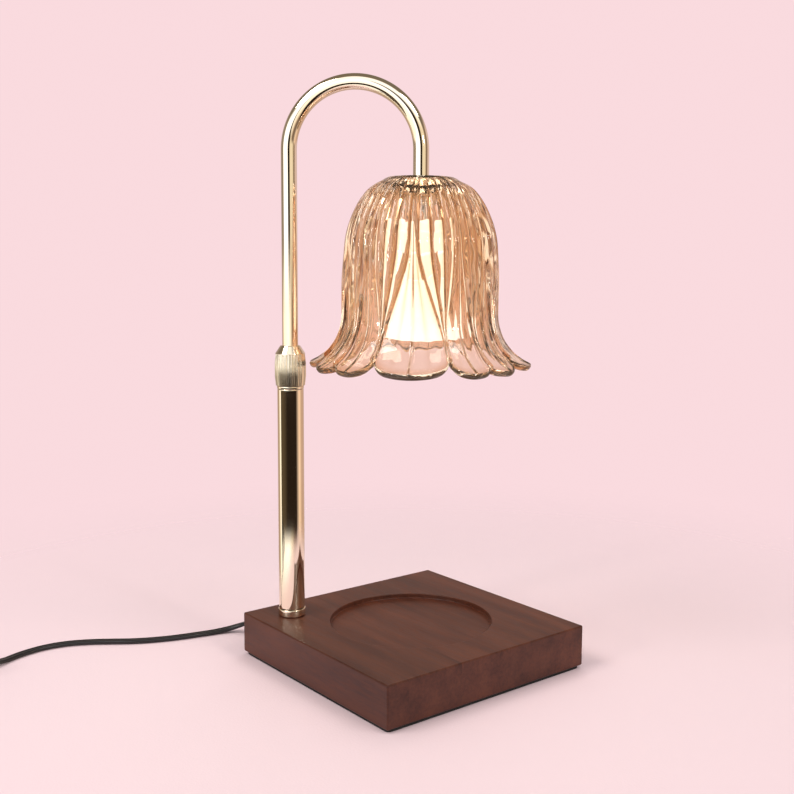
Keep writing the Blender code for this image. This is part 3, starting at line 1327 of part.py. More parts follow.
def straighten_ends(points, start_way, end_way):
    """Turn the first and last spans to these directions, so that the end faces are square."""
    start_way = Vector(start_way)
    end_way = Vector(end_way)
    points[1] = points[0] + start_way * (points[1] - points[0]).dot(start_way)
    points[-2] = points[-1] - end_way * (points[-1] - points[-2]).dot(end_way)


def main():
    clear_scene()
    build_base()
    pole_axis = axis_empty("pole_axis", (POLE_PLACE, POLE_PLACE, 0))
    pole_axis.rotation_euler = (0, 0, math.tau / 8)
    stud_bottom = build_pole(pole_axis)
    clamp_axis = build_neck(pole_axis)
    build_collar(clamp_axis)
    slider_axis = axis_empty("arm_slider_axis", (0, 0, 0), pole_axis)
    arm_axis = axis_empty("arm_axis", (0, 0, 0), slider_axis)
    build_gooseneck(slider_axis, arm_axis)
    shade_axis = axis_empty("shade_axis", (ARM_REACH, 0, 0), arm_axis)
    build_shade(shade_axis)
    bracket = build_shade_fastening(shade_axis)
    build_lampholder(shade_axis, bracket)
    build_bulb(axis_empty("bulb_axis", (0, 0, 0), shade_axis))
    exit_point = build_strain_relief(stud_bottom)
    build_dimmer()
    build_tie()
    build_cord(exit_point, build_plug())


main()
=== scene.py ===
import json
import math

import bmesh
import bpy
from mathutils import Matrix, Vector


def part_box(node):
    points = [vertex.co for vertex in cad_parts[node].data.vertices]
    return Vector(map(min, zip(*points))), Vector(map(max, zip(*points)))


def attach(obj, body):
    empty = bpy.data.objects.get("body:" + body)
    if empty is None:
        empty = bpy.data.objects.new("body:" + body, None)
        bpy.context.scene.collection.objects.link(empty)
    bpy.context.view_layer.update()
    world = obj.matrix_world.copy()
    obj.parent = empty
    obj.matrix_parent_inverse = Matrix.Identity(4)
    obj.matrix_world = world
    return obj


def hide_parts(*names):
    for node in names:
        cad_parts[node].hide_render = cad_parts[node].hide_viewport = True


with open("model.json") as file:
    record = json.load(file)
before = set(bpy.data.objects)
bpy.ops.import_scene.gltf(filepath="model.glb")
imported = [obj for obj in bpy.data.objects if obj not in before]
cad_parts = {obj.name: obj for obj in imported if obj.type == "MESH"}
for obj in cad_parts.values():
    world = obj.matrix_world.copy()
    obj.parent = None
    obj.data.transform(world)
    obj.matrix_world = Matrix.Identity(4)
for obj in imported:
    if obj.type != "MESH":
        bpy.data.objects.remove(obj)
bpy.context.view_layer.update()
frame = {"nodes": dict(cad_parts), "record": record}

for spare in ("Cube", "Light", "Camera"):
    if spare in bpy.data.objects:
        bpy.data.objects.remove(bpy.data.objects[spare])
print("frame loaded:", len(frame["nodes"]), "nodes")

# Where things stand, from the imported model
tubeLow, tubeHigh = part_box("lower_tube")
discLow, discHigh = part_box("cover_disc")
polePlace = (tubeLow + tubeHigh) / 2
shadePlace = (discLow + discHigh) / 2
armTurn = math.radians(45)
poleFrame = Matrix.Translation((polePlace.x, polePlace.y, 0)) @ Matrix.Rotation(armTurn, 4, "Z")
shadeFrame = Matrix.Translation((shadePlace.x, shadePlace.y, 0)) @ Matrix.Rotation(armTurn, 4, "Z")


# Camera

photoCamera = {
    "place": (0.5135, -0.4079, 0.2538),
    "azimuth": 50.26,
    "lookDown": 6.53,
    "roll": 0.471,
    "lens": 49.46,
    "shiftX": -0.0497,
    "shiftY": -0.0268,
}


def makeCamera(settings):
    turn, dip, roll = (math.radians(settings[key]) for key in ("azimuth", "lookDown", "roll"))
    back = Vector((math.sin(turn) * math.cos(dip), -math.cos(turn) * math.cos(dip), math.sin(dip)))
    side = Vector((math.cos(turn), math.sin(turn), 0))
    up = back.cross(side)
    right = side * math.cos(roll) + up * math.sin(roll)
    up = up * math.cos(roll) - side * math.sin(roll)
    camera = bpy.data.objects.new("photoCamera", bpy.data.cameras.new("photoCamera"))
    bpy.context.scene.collection.objects.link(camera)
    axes = Matrix((right, up, back)).transposed().to_4x4()
    camera.matrix_world = Matrix.Translation(settings["place"]) @ axes
    camera.data.lens = settings["lens"]
    camera.data.sensor_width = 36
    camera.data.shift_x = settings["shiftX"]
    camera.data.shift_y = settings["shiftY"]
    camera.data.clip_start = 0.01
    bpy.context.scene.camera = camera


makeCamera(photoCamera)
bpy.context.scene.view_settings.view_transform = "Standard"


# Small helpers for shader and geometry trees


def nodeIn(tree, kind, inputs=(), **settings):
    node = tree.nodes.new(kind)
    for key, value in settings.items():
        setattr(node, key, value)
    for slot, value in dict(inputs).items():
        socket = node.inputs[slot]
        if isinstance(value, bpy.types.NodeSocket):
            tree.links.new(value, socket)
        else:
            socket.default_value = value
    return node


def calc(tree, operation, *values):
    return nodeIn(tree, "ShaderNodeMath", enumerate(values), operation=operation).outputs[0]


def newMaterial(name, colour, **sockets):
    material = bpy.data.materials.new(name)
    material.use_nodes = True
    tree = material.node_tree
    shader = tree.nodes["Principled BSDF"]
    shader.inputs["Base Color"].default_value = (*colour, 1)
    for key, value in sockets.items():
        shader.inputs[key.replace("_", " ")].default_value = value
    return material, tree, shader


def ownPlace(tree, scale=(1, 1, 1), turn=(0, 0, 0)):
    coordinates = nodeIn(tree, "ShaderNodeTexCoord").outputs["Object"]
    inputs = {"Vector": coordinates, "Scale": scale, "Rotation": turn}
    return nodeIn(tree, "ShaderNodeMapping", inputs).outputs["Vector"]


def noiseAt(tree, place, scale, detail=3.0, roughness=0.5):
    inputs = {"Vector": place, "Scale": scale, "Detail": detail, "Roughness": roughness}
    return nodeIn(tree, "ShaderNodeTexNoise", inputs).outputs["Fac"]


def spread(tree, value, low, high, fromLow=0.3, fromHigh=0.7):
    inputs = {"Value": value, "From Min": fromLow, "From Max": fromHigh, "To Min": low, "To Max": high}
    return nodeIn(tree, "ShaderNodeMapRange", inputs).outputs["Result"]


def mixColours(tree, share, first, second, blend="MIX"):
    node = nodeIn(tree, "ShaderNodeMix", data_type="RGBA", blend_type=blend)
    for slot, value in (("Factor", share), ("A", first), ("B", second)):
        socket = next(s for s in node.inputs if s.name == slot and s.enabled and s.type in ("RGBA", "VALUE"))
        if isinstance(value, bpy.types.NodeSocket):
            tree.links.new(value, socket)
        else:
            socket.default_value = value
    return next(s for s in node.outputs if s.enabled)


def bumped(tree, shader, height, distance, strength=1.0):
    inputs = {"Height": height, "Distance": distance, "Strength": strength}
    tree.links.new(nodeIn(tree, "ShaderNodeBump", inputs).outputs["Normal"], shader.inputs["Normal"])


# Finishes


def walnutStain():
    look = {
        "dark": (0.052, 0.0125, 0.0062, 1),
        "mid": (0.125, 0.0350, 0.0165, 1),
        "boardWidth": 0.0375,
        "roughness": (0.36, 0.47),
    }
    material, tree, shader = newMaterial("walnutStain", look["mid"][:3], Specular_IOR_Level=0.36)
    place = nodeIn(tree, "ShaderNodeTexCoord").outputs["Object"]
    axes = nodeIn(tree, "ShaderNodeSeparateXYZ", {"Vector": place}).outputs
    board = calc(tree, "FLOOR", calc(tree, "DIVIDE", calc(tree, "ADD", axes["Y"], 0.0231), look["boardWidth"]))
    tone = nodeIn(tree, "ShaderNodeTexWhiteNoise", {"W": board}, noise_dimensions="1D").outputs["Value"]
    shifted = nodeIn(tree, "ShaderNodeCombineXYZ", {"X": axes["X"], "Y": axes["Y"], "Z": calc(tree, "ADD", axes["Z"], tone)})
    along = nodeIn(tree, "ShaderNodeMapping", {"Vector": shifted.outputs[0], "Scale": (1, 9, 9)}).outputs[0]
    figure = noiseAt(tree, along, 9, 4, 0.55)
    fibre = noiseAt(tree, along, 55, 5, 0.65)
    pores = noiseAt(tree, nodeIn(tree, "ShaderNodeMapping", {"Vector": shifted.outputs[0], "Scale": (1, 12, 12)}).outputs[0], 170, 2)
    grain = calc(tree, "ADD", calc(tree, "MULTIPLY", figure, 0.55), calc(tree, "MULTIPLY", fibre, 0.45))
    grain = spread(tree, grain, 0.0, 1.0, 0.36, 0.64)
    tinted = mixColours(tree, grain, look["dark"], look["mid"])
    boardTone = spread(tree, tone, 0.88, 1.10, 0.0, 1.0)
    tinted = mixColours(tree, 1.0, tinted, nodeIn(tree, "ShaderNodeCombineColor", {0: boardTone, 1: boardTone, 2: boardTone}).outputs[0], "MULTIPLY")
    darkPores = spread(tree, pores, 0.72, 1.0, 0.30, 0.42)
    tinted = mixColours(tree, 1.0, tinted, nodeIn(tree, "ShaderNodeCombineColor", {0: darkPores, 1: darkPores, 2: darkPores}).outputs[0], "MULTIPLY")
    tree.links.new(tinted, shader.inputs["Base Color"])
    tree.links.new(spread(tree, fibre, *look["roughness"]), shader.inputs["Roughness"])
    bumped(tree, shader, calc(tree, "ADD", darkPores, calc(tree, "MULTIPLY", fibre, 0.5)), 0.00006, 0.5)
    return material


def platedGold(name, colour, roughness, brushed=False):
    material, tree, shader = newMaterial(name, colour, Metallic=1.0)
    smear = noiseAt(tree, ownPlace(tree), 38, 3)
    fine = noiseAt(tree, ownPlace(tree, (1, 1, 0.08)), 900 if brushed else 2400, 2)
    amount = calc(tree, "ADD", calc(tree, "MULTIPLY", smear, 0.6), calc(tree, "MULTIPLY", fine, 0.4))
    tree.links.new(spread(tree, amount, roughness * 0.75, roughness * 1.35), shader.inputs["Roughness"])
    warm = tuple(c * k for c, k in zip(colour, (0.97, 0.95, 0.90)))
    tree.links.new(mixColours(tree, spread(tree, smear, 0, 1), (*colour, 1), (*warm, 1)), shader.inputs["Base Color"])
    if brushed:
        bumped(tree, shader, fine, 0.00003, 0.6)
    return material


def plainMetal(name, colour, roughness):
    material, tree, shader = newMaterial(name, colour, Metallic=1.0)
    grain = noiseAt(tree, ownPlace(tree), 420, 4)
    tree.links.new(spread(tree, grain, roughness * 0.7, roughness * 1.3), shader.inputs["Roughness"])
    dull = tuple(c * 0.86 for c in colour)
    tree.links.new(mixColours(tree, spread(tree, grain, 0, 1), (*dull, 1), (*colour, 1)), shader.inputs["Base Color"])
    return material


def mouldedPlastic(name, colour, roughness, grainScale=1800, bump=0.00001):
    material, tree, shader = newMaterial(name, colour)
    grain = noiseAt(tree, ownPlace(tree), grainScale, 2)
    soft = noiseAt(tree, ownPlace(tree), 60, 3)
    tree.links.new(spread(tree, soft, roughness * 0.85, roughness * 1.2), shader.inputs["Roughness"])
    lighter = tuple(min(1.0, c * 1.12 + 0.001) for c in colour)
    tree.links.new(mixColours(tree, spread(tree, soft, 0, 1), (*colour, 1), (*lighter, 1)), shader.inputs["Base Color"])
    bumped(tree, shader, grain, bump, 0.4)
    return material


def pressedGlass():
    look = {
        "tint": (0.97, 0.83, 0.68),
        "amber": (0.94, 0.68, 0.42),
        "paintedGrooveShade": (0.66, 0.33, 0.12),
        "paintedDeepShade": (0.20, 0.09, 0.045),
        "shadowTint": (1.0, 0.98, 0.95, 1),
        "roughness": (0.010, 0.030),
    }
    material, tree, shader = newMaterial("champagneGlass", look["tint"], Transmission_Weight=0.985, IOR=1.50)
    swirl = noiseAt(tree, ownPlace(tree, (1, 1, 0.4)), 24, 2)
    tinted = mixColours(tree, spread(tree, swirl, 0, 1, 0.4, 0.75), (*look["tint"], 1), (*look["amber"], 1))
    # Painted shade: the tone attribute darkens the tint towards brown and near black in the grooves, down the panels
    # and at the lip
    tone = nodeIn(tree, "ShaderNodeAttribute", attribute_name="tone").outputs["Fac"]
    tinted = mixColours(tree, tone, tinted, (*look["paintedGrooveShade"], 1))
    tinted = mixColours(tree, spread(tree, tone, 0, 1, 0.70, 0.95), tinted, (*look["paintedDeepShade"], 1))
    tree.links.new(tinted, shader.inputs["Base Color"])
    tree.links.new(spread(tree, swirl, *look["roughness"]), shader.inputs["Roughness"])
    waves = noiseAt(tree, ownPlace(tree, (1, 1, 0.35)), 110, 2)
    bumped(tree, shader, waves, 0.00016, 0.35)
    letThrough(tree, shader, look["shadowTint"])
    return material


def lampWhite(name, colour, roughness):
    # A faint glow stands for the light that the shade throws back on the lamp
    material = mouldedPlastic(name, colour, roughness, 600, 0.00001)
    shader = material.node_tree.nodes["Principled BSDF"]
    shader.inputs["Emission Color"].default_value = (0.76, 0.92, 1.0, 1)
    shader.inputs["Emission Strength"].default_value = 1.05
    return material


def letThrough(tree, shader, tint):
    # Lamp light reaches what stands behind the glass
    clear = nodeIn(tree, "ShaderNodeBsdfTransparent", {"Color": tint}).outputs[0]
    toLamp = nodeIn(tree, "ShaderNodeLightPath").outputs["Is Shadow Ray"]
    mixed = nodeIn(tree, "ShaderNodeMixShader", {0: toLamp, 1: shader.outputs[0], 2: clear}).outputs[0]
    tree.links.new(mixed, tree.nodes["Material Output"].inputs["Surface"])


def clearGlass(name, tint, roughness=0.02):
    material, tree, shader = newMaterial(name, tint, Transmission_Weight=1.0, IOR=1.47)
    swirl = noiseAt(tree, ownPlace(tree), 120, 2)
    tree.links.new(spread(tree, swirl, roughness * 0.6, roughness * 1.6), shader.inputs["Roughness"])
    letThrough(tree, shader, (*tint, 1))
    return material


finishes = {
    "walnut": walnutStain(),
    "pad_rubber": mouldedPlastic("padRubber", (0.012, 0.012, 0.012), 0.8, 900, 0.00004),
    "polished_gold": platedGold("polishedGold", (0.95, 0.85, 0.70), 0.06),
    "satin_gold": platedGold("satinGold", (0.95, 0.87, 0.73), 0.19, brushed=True),
    "nickel": plainMetal("nickel", (0.66, 0.63, 0.57), 0.22),
    "zinc_steel": plainMetal("zincSteel", (0.55, 0.56, 0.58), 0.34),
    "nylon": mouldedPlastic("nylon", (0.80, 0.78, 0.72), 0.45),
    "champagne_glass": pressedGlass(),
    "ceramic": lampWhite("ceramic", (0.60, 0.62, 0.64), 0.35),
    "lamp_glass": clearGlass("lampGlass", (0.97, 0.97, 0.95)),
    "coated_glass": lampWhite("coatedGlass", (0.50, 0.56, 0.63), 0.20),
    "black_vinyl": mouldedPlastic("blackVinyl", (0.010, 0.010, 0.011), 0.34),
    "white_insulation": mouldedPlastic("whiteInsulation", (0.75, 0.74, 0.70), 0.5),
    "blade_brass": plainMetal("bladeBrass", (0.75, 0.62, 0.36), 0.28),
}
nodeSlots = {entry["node"]: entry["material_slot"] for entry in frame["record"]["subparts"]}
for nodeName, node in frame["nodes"].items():
    node.data.materials.clear()
    node.data.materials.append(finishes[nodeSlots[nodeName]])
print("finishes made:", len(finishes))


# Making pieces


def finishPiece(name, mesh, body, nodes, slotName, smoothAngle=35, material=None, even=False):
    mesh.name = name
    mesh.materials.clear()
    mesh.materials.append(material or finishes[slotName])
    mesh.shade_smooth()
    if smoothAngle:
        mesh.set_sharp_from_angle(angle=math.radians(smoothAngle))
    piece = bpy.data.objects.new(name, mesh)
    bpy.context.scene.collection.objects.link(piece)
    if even:
        evenNormals(piece)
    if nodes:
        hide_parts(*nodes)
    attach(piece, body)
    return piece


def evenNormals(piece):
    # Large faces keep their own direction beside narrow rounded edges
    even = piece.modifiers.new("even", "WEIGHTED_NORMAL")
    even.keep_sharp = True
    graph = bpy.context.evaluated_depsgraph_get()
    mesh = bpy.data.meshes.new_from_object(piece.evaluated_get(graph))
    piece.modifiers.remove(even)
    old, piece.data = piece.data, mesh
    name = old.name
    bpy.data.meshes.remove(old)
    mesh.name = name


def meshOf(bm, place=None):
    bmesh.ops.remove_doubles(bm, verts=bm.verts, dist=1e-6)
    bmesh.ops.recalc_face_normals(bm, faces=bm.faces)
    mesh = bpy.data.meshes.new("piece")
    bm.to_mesh(mesh)
    bm.free()
    if place is not None:
        mesh.transform(place)
    return mesh


def rounded(outline, size):
    closed = outline[0][0] > 0
    points = [Vector(p) for p in outline]
    count = len(points)
    result = []
    for i, here in enumerate(points):
        if not closed and i in (0, count - 1):
            result.append(here)
            continue
        before, after = points[i - 1], points[(i + 1) % count]
        toBefore, toAfter = before - here, after - here
        cutBack = min(size, toBefore.length * 0.45, toAfter.length * 0.45)
        start, end = here + toBefore.normalized() * cutBack, here + toAfter.normalized() * cutBack
        for step in range(4):
            t = step / 3
            result.append(start * (1 - t) ** 2 + here * 2 * t * (1 - t) + end * t * t)
    return [tuple(p) for p in result]


def braced(outline, reach):
    # Points near the ends of a long run keep the shading of its wall even
    points = [Vector(p) for p in outline]
    ends = points[1:] + points[:1] if outline[0][0] > 0 else points[1:]
    result = []
    for a, b in zip(points, ends):
        length = (b - a).length
        result.append(a)
        if length > 6 * reach:
            result += [a.lerp(b, reach / length), a.lerp(b, 1 - reach / length)]
    if len(ends) < len(points):
        result.append(points[-1])
    return [tuple(p) for p in result]


def spun(outline, steps=96, round_=0.0003):
    if round_:
        outline = braced(rounded(outline, round_), 2 * round_)
    bm = bmesh.new()
    verts = [bm.verts.new((r, 0, z)) for r, z in outline]
    edges = [bm.edges.new(pair) for pair in zip(verts, verts[1:])]
    if outline[0][0] > 0:
        edges.append(bm.edges.new((verts[-1], verts[0])))
    bmesh.ops.spin(
        bm, geom=verts + edges, cent=(0, 0, 0), axis=(0, 0, 1), angle=math.tau, steps=steps, use_merge=True
    )
    return bm


def loftedMesh(rings, closed=False, place=None):
    bm = bmesh.new()
    loops = [[bm.verts.new(point) for point in ring] for ring in rings]
    for lower, upper in zip(loops, loops[1:] + loops[:1] if closed else loops[1:]):
        for k in range(len(lower)):
            j = (k + 1) % len(lower)
            bm.faces.new((lower[k], lower[j], upper[j], upper[k]))
    if not closed:
        bm.faces.new(loops[0][::-1])
        bm.faces.new(loops[-1])
    return meshOf(bm, place)


def softRectangle(length, width, corner, height, steps=8):
    ring = []
    for quarter in range(4):
        middle = math.tau * (quarter / 4 + 1 / 8)
        x = math.copysign(length / 2 - corner, math.cos(middle))
        y = math.copysign(width / 2 - corner, math.sin(middle))
        for i in range(steps + 1):
            angle = math.tau * (quarter / 4 + i / steps / 4)
            ring.append((x + corner * math.cos(angle), y + corner * math.sin(angle), height))
    return ring


def cutWith(mesh, *tools):
    block = bpy.data.objects.new("block", mesh)
    bpy.context.scene.collection.objects.link(block)
    made = []
    for toolMesh in tools:
        tool = bpy.data.objects.new("cutter", toolMesh)
        bpy.context.scene.collection.objects.link(tool)
        cut = block.modifiers.new("cut", "BOOLEAN")
        cut.operation, cut.solver, cut.object = "DIFFERENCE", "EXACT", tool
        made.append(tool)
    bpy.context.view_layer.update()
    result = evaluatedMesh(block)
    for tool in made:
        bpy.data.objects.remove(tool)
    return result


def boxMesh(size, middle=(0, 0, 0), ease=0.0):
    bm = bmesh.new()
    bmesh.ops.create_cube(bm, size=1)
    bmesh.ops.scale(bm, vec=size, verts=bm.verts)
    bmesh.ops.translate(bm, vec=middle, verts=bm.verts)
    if ease:
        bmesh.ops.bevel(bm, geom=bm.edges[:], offset=ease, segments=3, profile=0.5, affect="EDGES")
    return meshOf(bm)


def evaluatedMesh(obj):
    graph = bpy.context.evaluated_depsgraph_get()
    mesh = bpy.data.meshes.new_from_object(obj.evaluated_get(graph))
    bpy.data.objects.remove(obj)
    return mesh


def runTree(tree, mesh, **values):
    carrier = bpy.data.objects.new("carrier", mesh)
    bpy.context.scene.collection.objects.link(carrier)
    modifier = carrier.modifiers.new("shape", "NODES")
    modifier.node_group = tree
    for item in tree.interface.items_tree:
        if item.item_type == "SOCKET" and item.in_out == "INPUT" and item.name in values:
            modifier[item.identifier] = values[item.name]
    made = evaluatedMesh(carrier)
    return made


def newTree(name, **inputs):
    tree = bpy.data.node_groups.new(name, "GeometryNodeTree")
    tree.interface.new_socket(name="Geometry", in_out="INPUT", socket_type="NodeSocketGeometry")
    kinds = {float: "NodeSocketFloat", int: "NodeSocketInt", type(None): "NodeSocketMaterial"}
    for key, value in inputs.items():
        socket = tree.interface.new_socket(name=key, in_out="INPUT", socket_type=kinds[type(value)])
        if value is not None:
            socket.default_value = value
    tree.interface.new_socket(name="Geometry", in_out="OUTPUT", socket_type="NodeSocketGeometry")
    given = tree.nodes.new("NodeGroupInput").outputs
    return tree, given


def endTree(tree, geometry, material):
    solid = nodeIn(tree, "GeometryNodeRealizeInstances", {"Geometry": geometry}).outputs[0]
    painted = nodeIn(tree, "GeometryNodeSetMaterial", {"Geometry": solid, "Material": material}).outputs[0]
    tree.links.new(painted, tree.nodes.new("NodeGroupOutput").inputs[0])


def placedCopies(mesh, places, slotName):
    source = bpy.data.objects.new("source", mesh)
    bpy.context.scene.collection.objects.link(source)
    tree, given = newTree("copiesTree", Finish=None)
    shape = nodeIn(tree, "GeometryNodeObjectInfo", {"Object": source}).outputs["Geometry"]
    points = nodeIn(tree, "GeometryNodeMeshToPoints", {"Mesh": given["Geometry"]}).outputs[0]
    placed = nodeIn(tree, "GeometryNodeInstanceOnPoints", {"Points": points, "Instance": shape}).outputs[0]
    endTree(tree, placed, given["Finish"])
    made = runTree(tree, lineMesh(places), Finish=finishes[slotName])
    bpy.data.objects.remove(source)
    return made


def roundTube(points, radius, slotName, sides=20):
    tree, given = newTree("tubeTree", Radius=0.001, Sides=20, Finish=None)
    line = nodeIn(tree, "GeometryNodeMeshToCurve", {"Mesh": given["Geometry"]}).outputs[0]
    circle = {"Resolution": given["Sides"], "Radius": given["Radius"]}
    circle = nodeIn(tree, "GeometryNodeCurvePrimitiveCircle", circle).outputs[0]
    sweep = {"Curve": line, "Profile Curve": circle, "Fill Caps": True}
    tube = nodeIn(tree, "GeometryNodeCurveToMesh", sweep).outputs[0]
    endTree(tree, tube, given["Finish"])
    return runTree(tree, lineMesh(points), Radius=radius, Sides=sides, Finish=finishes[slotName])


def joined(*meshes):
    bm = bmesh.new()
    for mesh in meshes:
        bm.from_mesh(mesh)
        bpy.data.meshes.remove(mesh)
    mesh = bpy.data.meshes.new("joined")
    bm.to_mesh(mesh)
    bm.free()
    return mesh


# Cord: a flat twin lead, laid as in the CAD model

flatLead = {
    "width": 0.0053,
    "thickness": 0.0027,
    "waist": 0.37,
    "exit": (-0.0950, -0.0530, 0.0085),
    "route": (
        (-0.1000, -0.0531, 0.0083),
        (-0.1060, -0.0548, 0.0068),
        (-0.1115, -0.0590, 0.0042),
        (-0.1155, -0.0655, 0.0022),
        (-0.1180, -0.0740, 0.0015),
        (-0.1205, -0.0850, 0.0015),
        (-0.1240, -0.0980, 0.0015),
        (-0.1290, -0.1110, 0.0015),
        (-0.1355, -0.1230, 0.0015),
        (-0.1435, -0.1340, 0.0015),
        (-0.1515, -0.1460, 0.0015),
        (-0.1572, -0.1590, 0.0015),
        (-0.1588, -0.1725, 0.0015),
        (-0.1565, -0.1860, 0.0015),
        (-0.1515, -0.1980, 0.0018),
        (-0.1462, -0.2090, 0.0042),
        (-0.1428, -0.2190, 0.0063),
    ),
    "dimmerInlet": (-0.1420, -0.2240, 0.0065),
}
woundLead = {
    "outlet": (-0.1420, -0.2846, 0.0065),
    "turns": 6,
    "layers": 2,
    "pointsPerTurn": 48,
    "meanRadius": 0.029,
    "pitch": 0.0061,
    "layerStep": 0.0032,
    "rounding": 0.6,
    "height": 0.00275,
    "straightEnd": 0.0053,
    "linkLength": 0.031,
    "tail": (
        (-0.1407, -0.3380, 0.0021),
        (-0.1350, -0.3490, 0.0015),
        (-0.1250, -0.3557, 0.0015),
        (-0.1130, -0.3561, 0.0015),
        (-0.1025, -0.3500, 0.0022),
        (-0.0963, -0.3390, 0.0048),
    ),
    "plugNeck": (-0.0945, -0.3243, 0.00735),
}


def smoothCurve(knots, samples=24):
    knots = [Vector(k) for k in knots]
    padded = [2 * knots[0] - knots[1], *knots, 2 * knots[-1] - knots[-2]]
    points = []
    for a, b, c, d in zip(padded, padded[1:], padded[2:], padded[3:]):
        for i in range(samples):
            t = i / samples
            points.append((2 * b + (c - a) * t + (2 * a - 5 * b + 4 * c - d) * t**2 + (3 * b - a - 3 * c + d) * t**3) / 2)
    return [*points, knots[-1]]


def evenly(points, gap):
    lengths = [0.0]
    for a, b in zip(points, points[1:]):
        lengths.append(lengths[-1] + (b - a).length)
    count = max(2, round(lengths[-1] / gap))
    read, at = [], 0
    for i in range(count + 1):
        wanted = lengths[-1] * i / count
        while at < len(points) - 2 and lengths[at + 1] < wanted:
            at += 1
        share = (wanted - lengths[at]) / (lengths[at + 1] - lengths[at])
        read.append(points[at].lerp(points[at + 1], min(1.0, share)))
    return read


def pathLength(points):
    return sum((b - a).length for a, b in zip(points, points[1:]))


def smoothStep(value):
    value = min(1.0, max(0.0, value))
    return value * value * (3 - 2 * value)


def coilRoute(wound):
    outlet = Vector(wound["outlet"])
    outer = wound["meanRadius"] + wound["pitch"] * wound["turns"] / wound["layers"] / 2
    inner = wound["meanRadius"] - wound["pitch"] * wound["turns"] / wound["layers"] / 2
    centre = Vector((outlet.x - outer, outlet.y + 0.0003 - wound["linkLength"] - wound["straightEnd"], wound["height"]))
    halfTurns, steepest, rounding = math.pi * wound["turns"], wound["pitch"] / math.tau, wound["rounding"]
    shift = steepest * (halfTurns - math.hypot(halfTurns, rounding))
    points = []
    for i in range(wound["pointsPerTurn"] * wound["turns"] + 1):
        turn = math.tau * i / wound["pointsPerTurn"]
        fromMiddle = turn - halfTurns
        radius = inner + steepest * math.hypot(fromMiddle, rounding) + shift
        up = smoothStep(0.5 - fromMiddle / math.pi) * wound["layerStep"]
        points.append(centre + Vector((radius * math.cos(-turn), radius * math.sin(-turn), up)))
    return points


def leadTree():
    tree, given = newTree("flatLeadTree", Width=0.005, Thickness=0.003, Waist=0.3, Sides=24, Finish=None)
    line = nodeIn(tree, "GeometryNodeMeshToCurve", {"Mesh": given["Geometry"]}).outputs[0]
    line = nodeIn(tree, "GeometryNodeSetCurveNormal", {"Curve": line}, mode="Z_UP").outputs[0]
    circle = nodeIn(tree, "GeometryNodeCurvePrimitiveCircle", {"Resolution": given["Sides"], "Radius": 1.0}).outputs[0]
    around = nodeIn(tree, "ShaderNodeSeparateXYZ", {"Vector": tree.nodes.new("GeometryNodeInputPosition").outputs[0]}).outputs
    tall = calc(tree, "ABSOLUTE", around["Y"])
    lobes = calc(tree, "POWER", tall, 0.6)
    dip = calc(tree, "SUBTRACT", 1.0, calc(tree, "MULTIPLY", given["Waist"], calc(tree, "POWER", tall, 10.0)))
    y = calc(tree, "MULTIPLY", calc(tree, "MULTIPLY", lobes, dip), calc(tree, "MULTIPLY", given["Thickness"], 0.55))
    y = calc(tree, "MULTIPLY", y, calc(tree, "SIGN", around["Y"]))
    x = calc(tree, "MULTIPLY", around["X"], calc(tree, "MULTIPLY", given["Width"], 0.5))
    section = nodeIn(tree, "ShaderNodeCombineXYZ", {"X": x, "Y": y}).outputs[0]
    profile = nodeIn(tree, "GeometryNodeSetPosition", {"Geometry": circle, "Position": section}).outputs[0]
    tube = nodeIn(tree, "GeometryNodeCurveToMesh", {"Curve": line, "Profile Curve": profile, "Fill Caps": True}).outputs[0]
    endTree(tree, tube, given["Finish"])
    return tree


def lineMesh(points):
    mesh = bpy.data.meshes.new("line")
    mesh.from_pydata(points, [(i, i + 1) for i in range(len(points) - 1)], [])
    return mesh


def makeLead(name, points, body, nodes):
    section = {"Width": flatLead["width"], "Thickness": flatLead["thickness"], "Waist": flatLead["waist"]}
    mesh = runTree(leadSection, lineMesh(points), Finish=finishes["black_vinyl"], **section)
    return finishPiece(name, mesh, body, nodes, "black_vinyl", smoothAngle=60)


leadSection = leadTree()
leadPath = evenly(smoothCurve([flatLead["exit"], *flatLead["route"], flatLead["dimmerInlet"]]), 0.003)
supplyLead = makeLead("supplyLead", leadPath, "base", ["cord_lead"])
coil = coilRoute(woundLead)
tailStart = coil[-1] - Vector((0, woundLead["straightEnd"] + 0.0003, 0))
tailPath = evenly(smoothCurve([tailStart, *woundLead["tail"], woundLead["plugNeck"]]), 0.003)
linkPath = evenly([Vector(woundLead["outlet"]), coil[0] + Vector((0, 0.003, 0))], 0.004)
restPath = linkPath + coil + tailPath
storedLead = makeLead("storedLead", restPath, "base", ["cord_link", "cord_coil", "cord_tail"])
print("cord laid:", len(leadPath) + len(restPath), "points")


# Wooden base


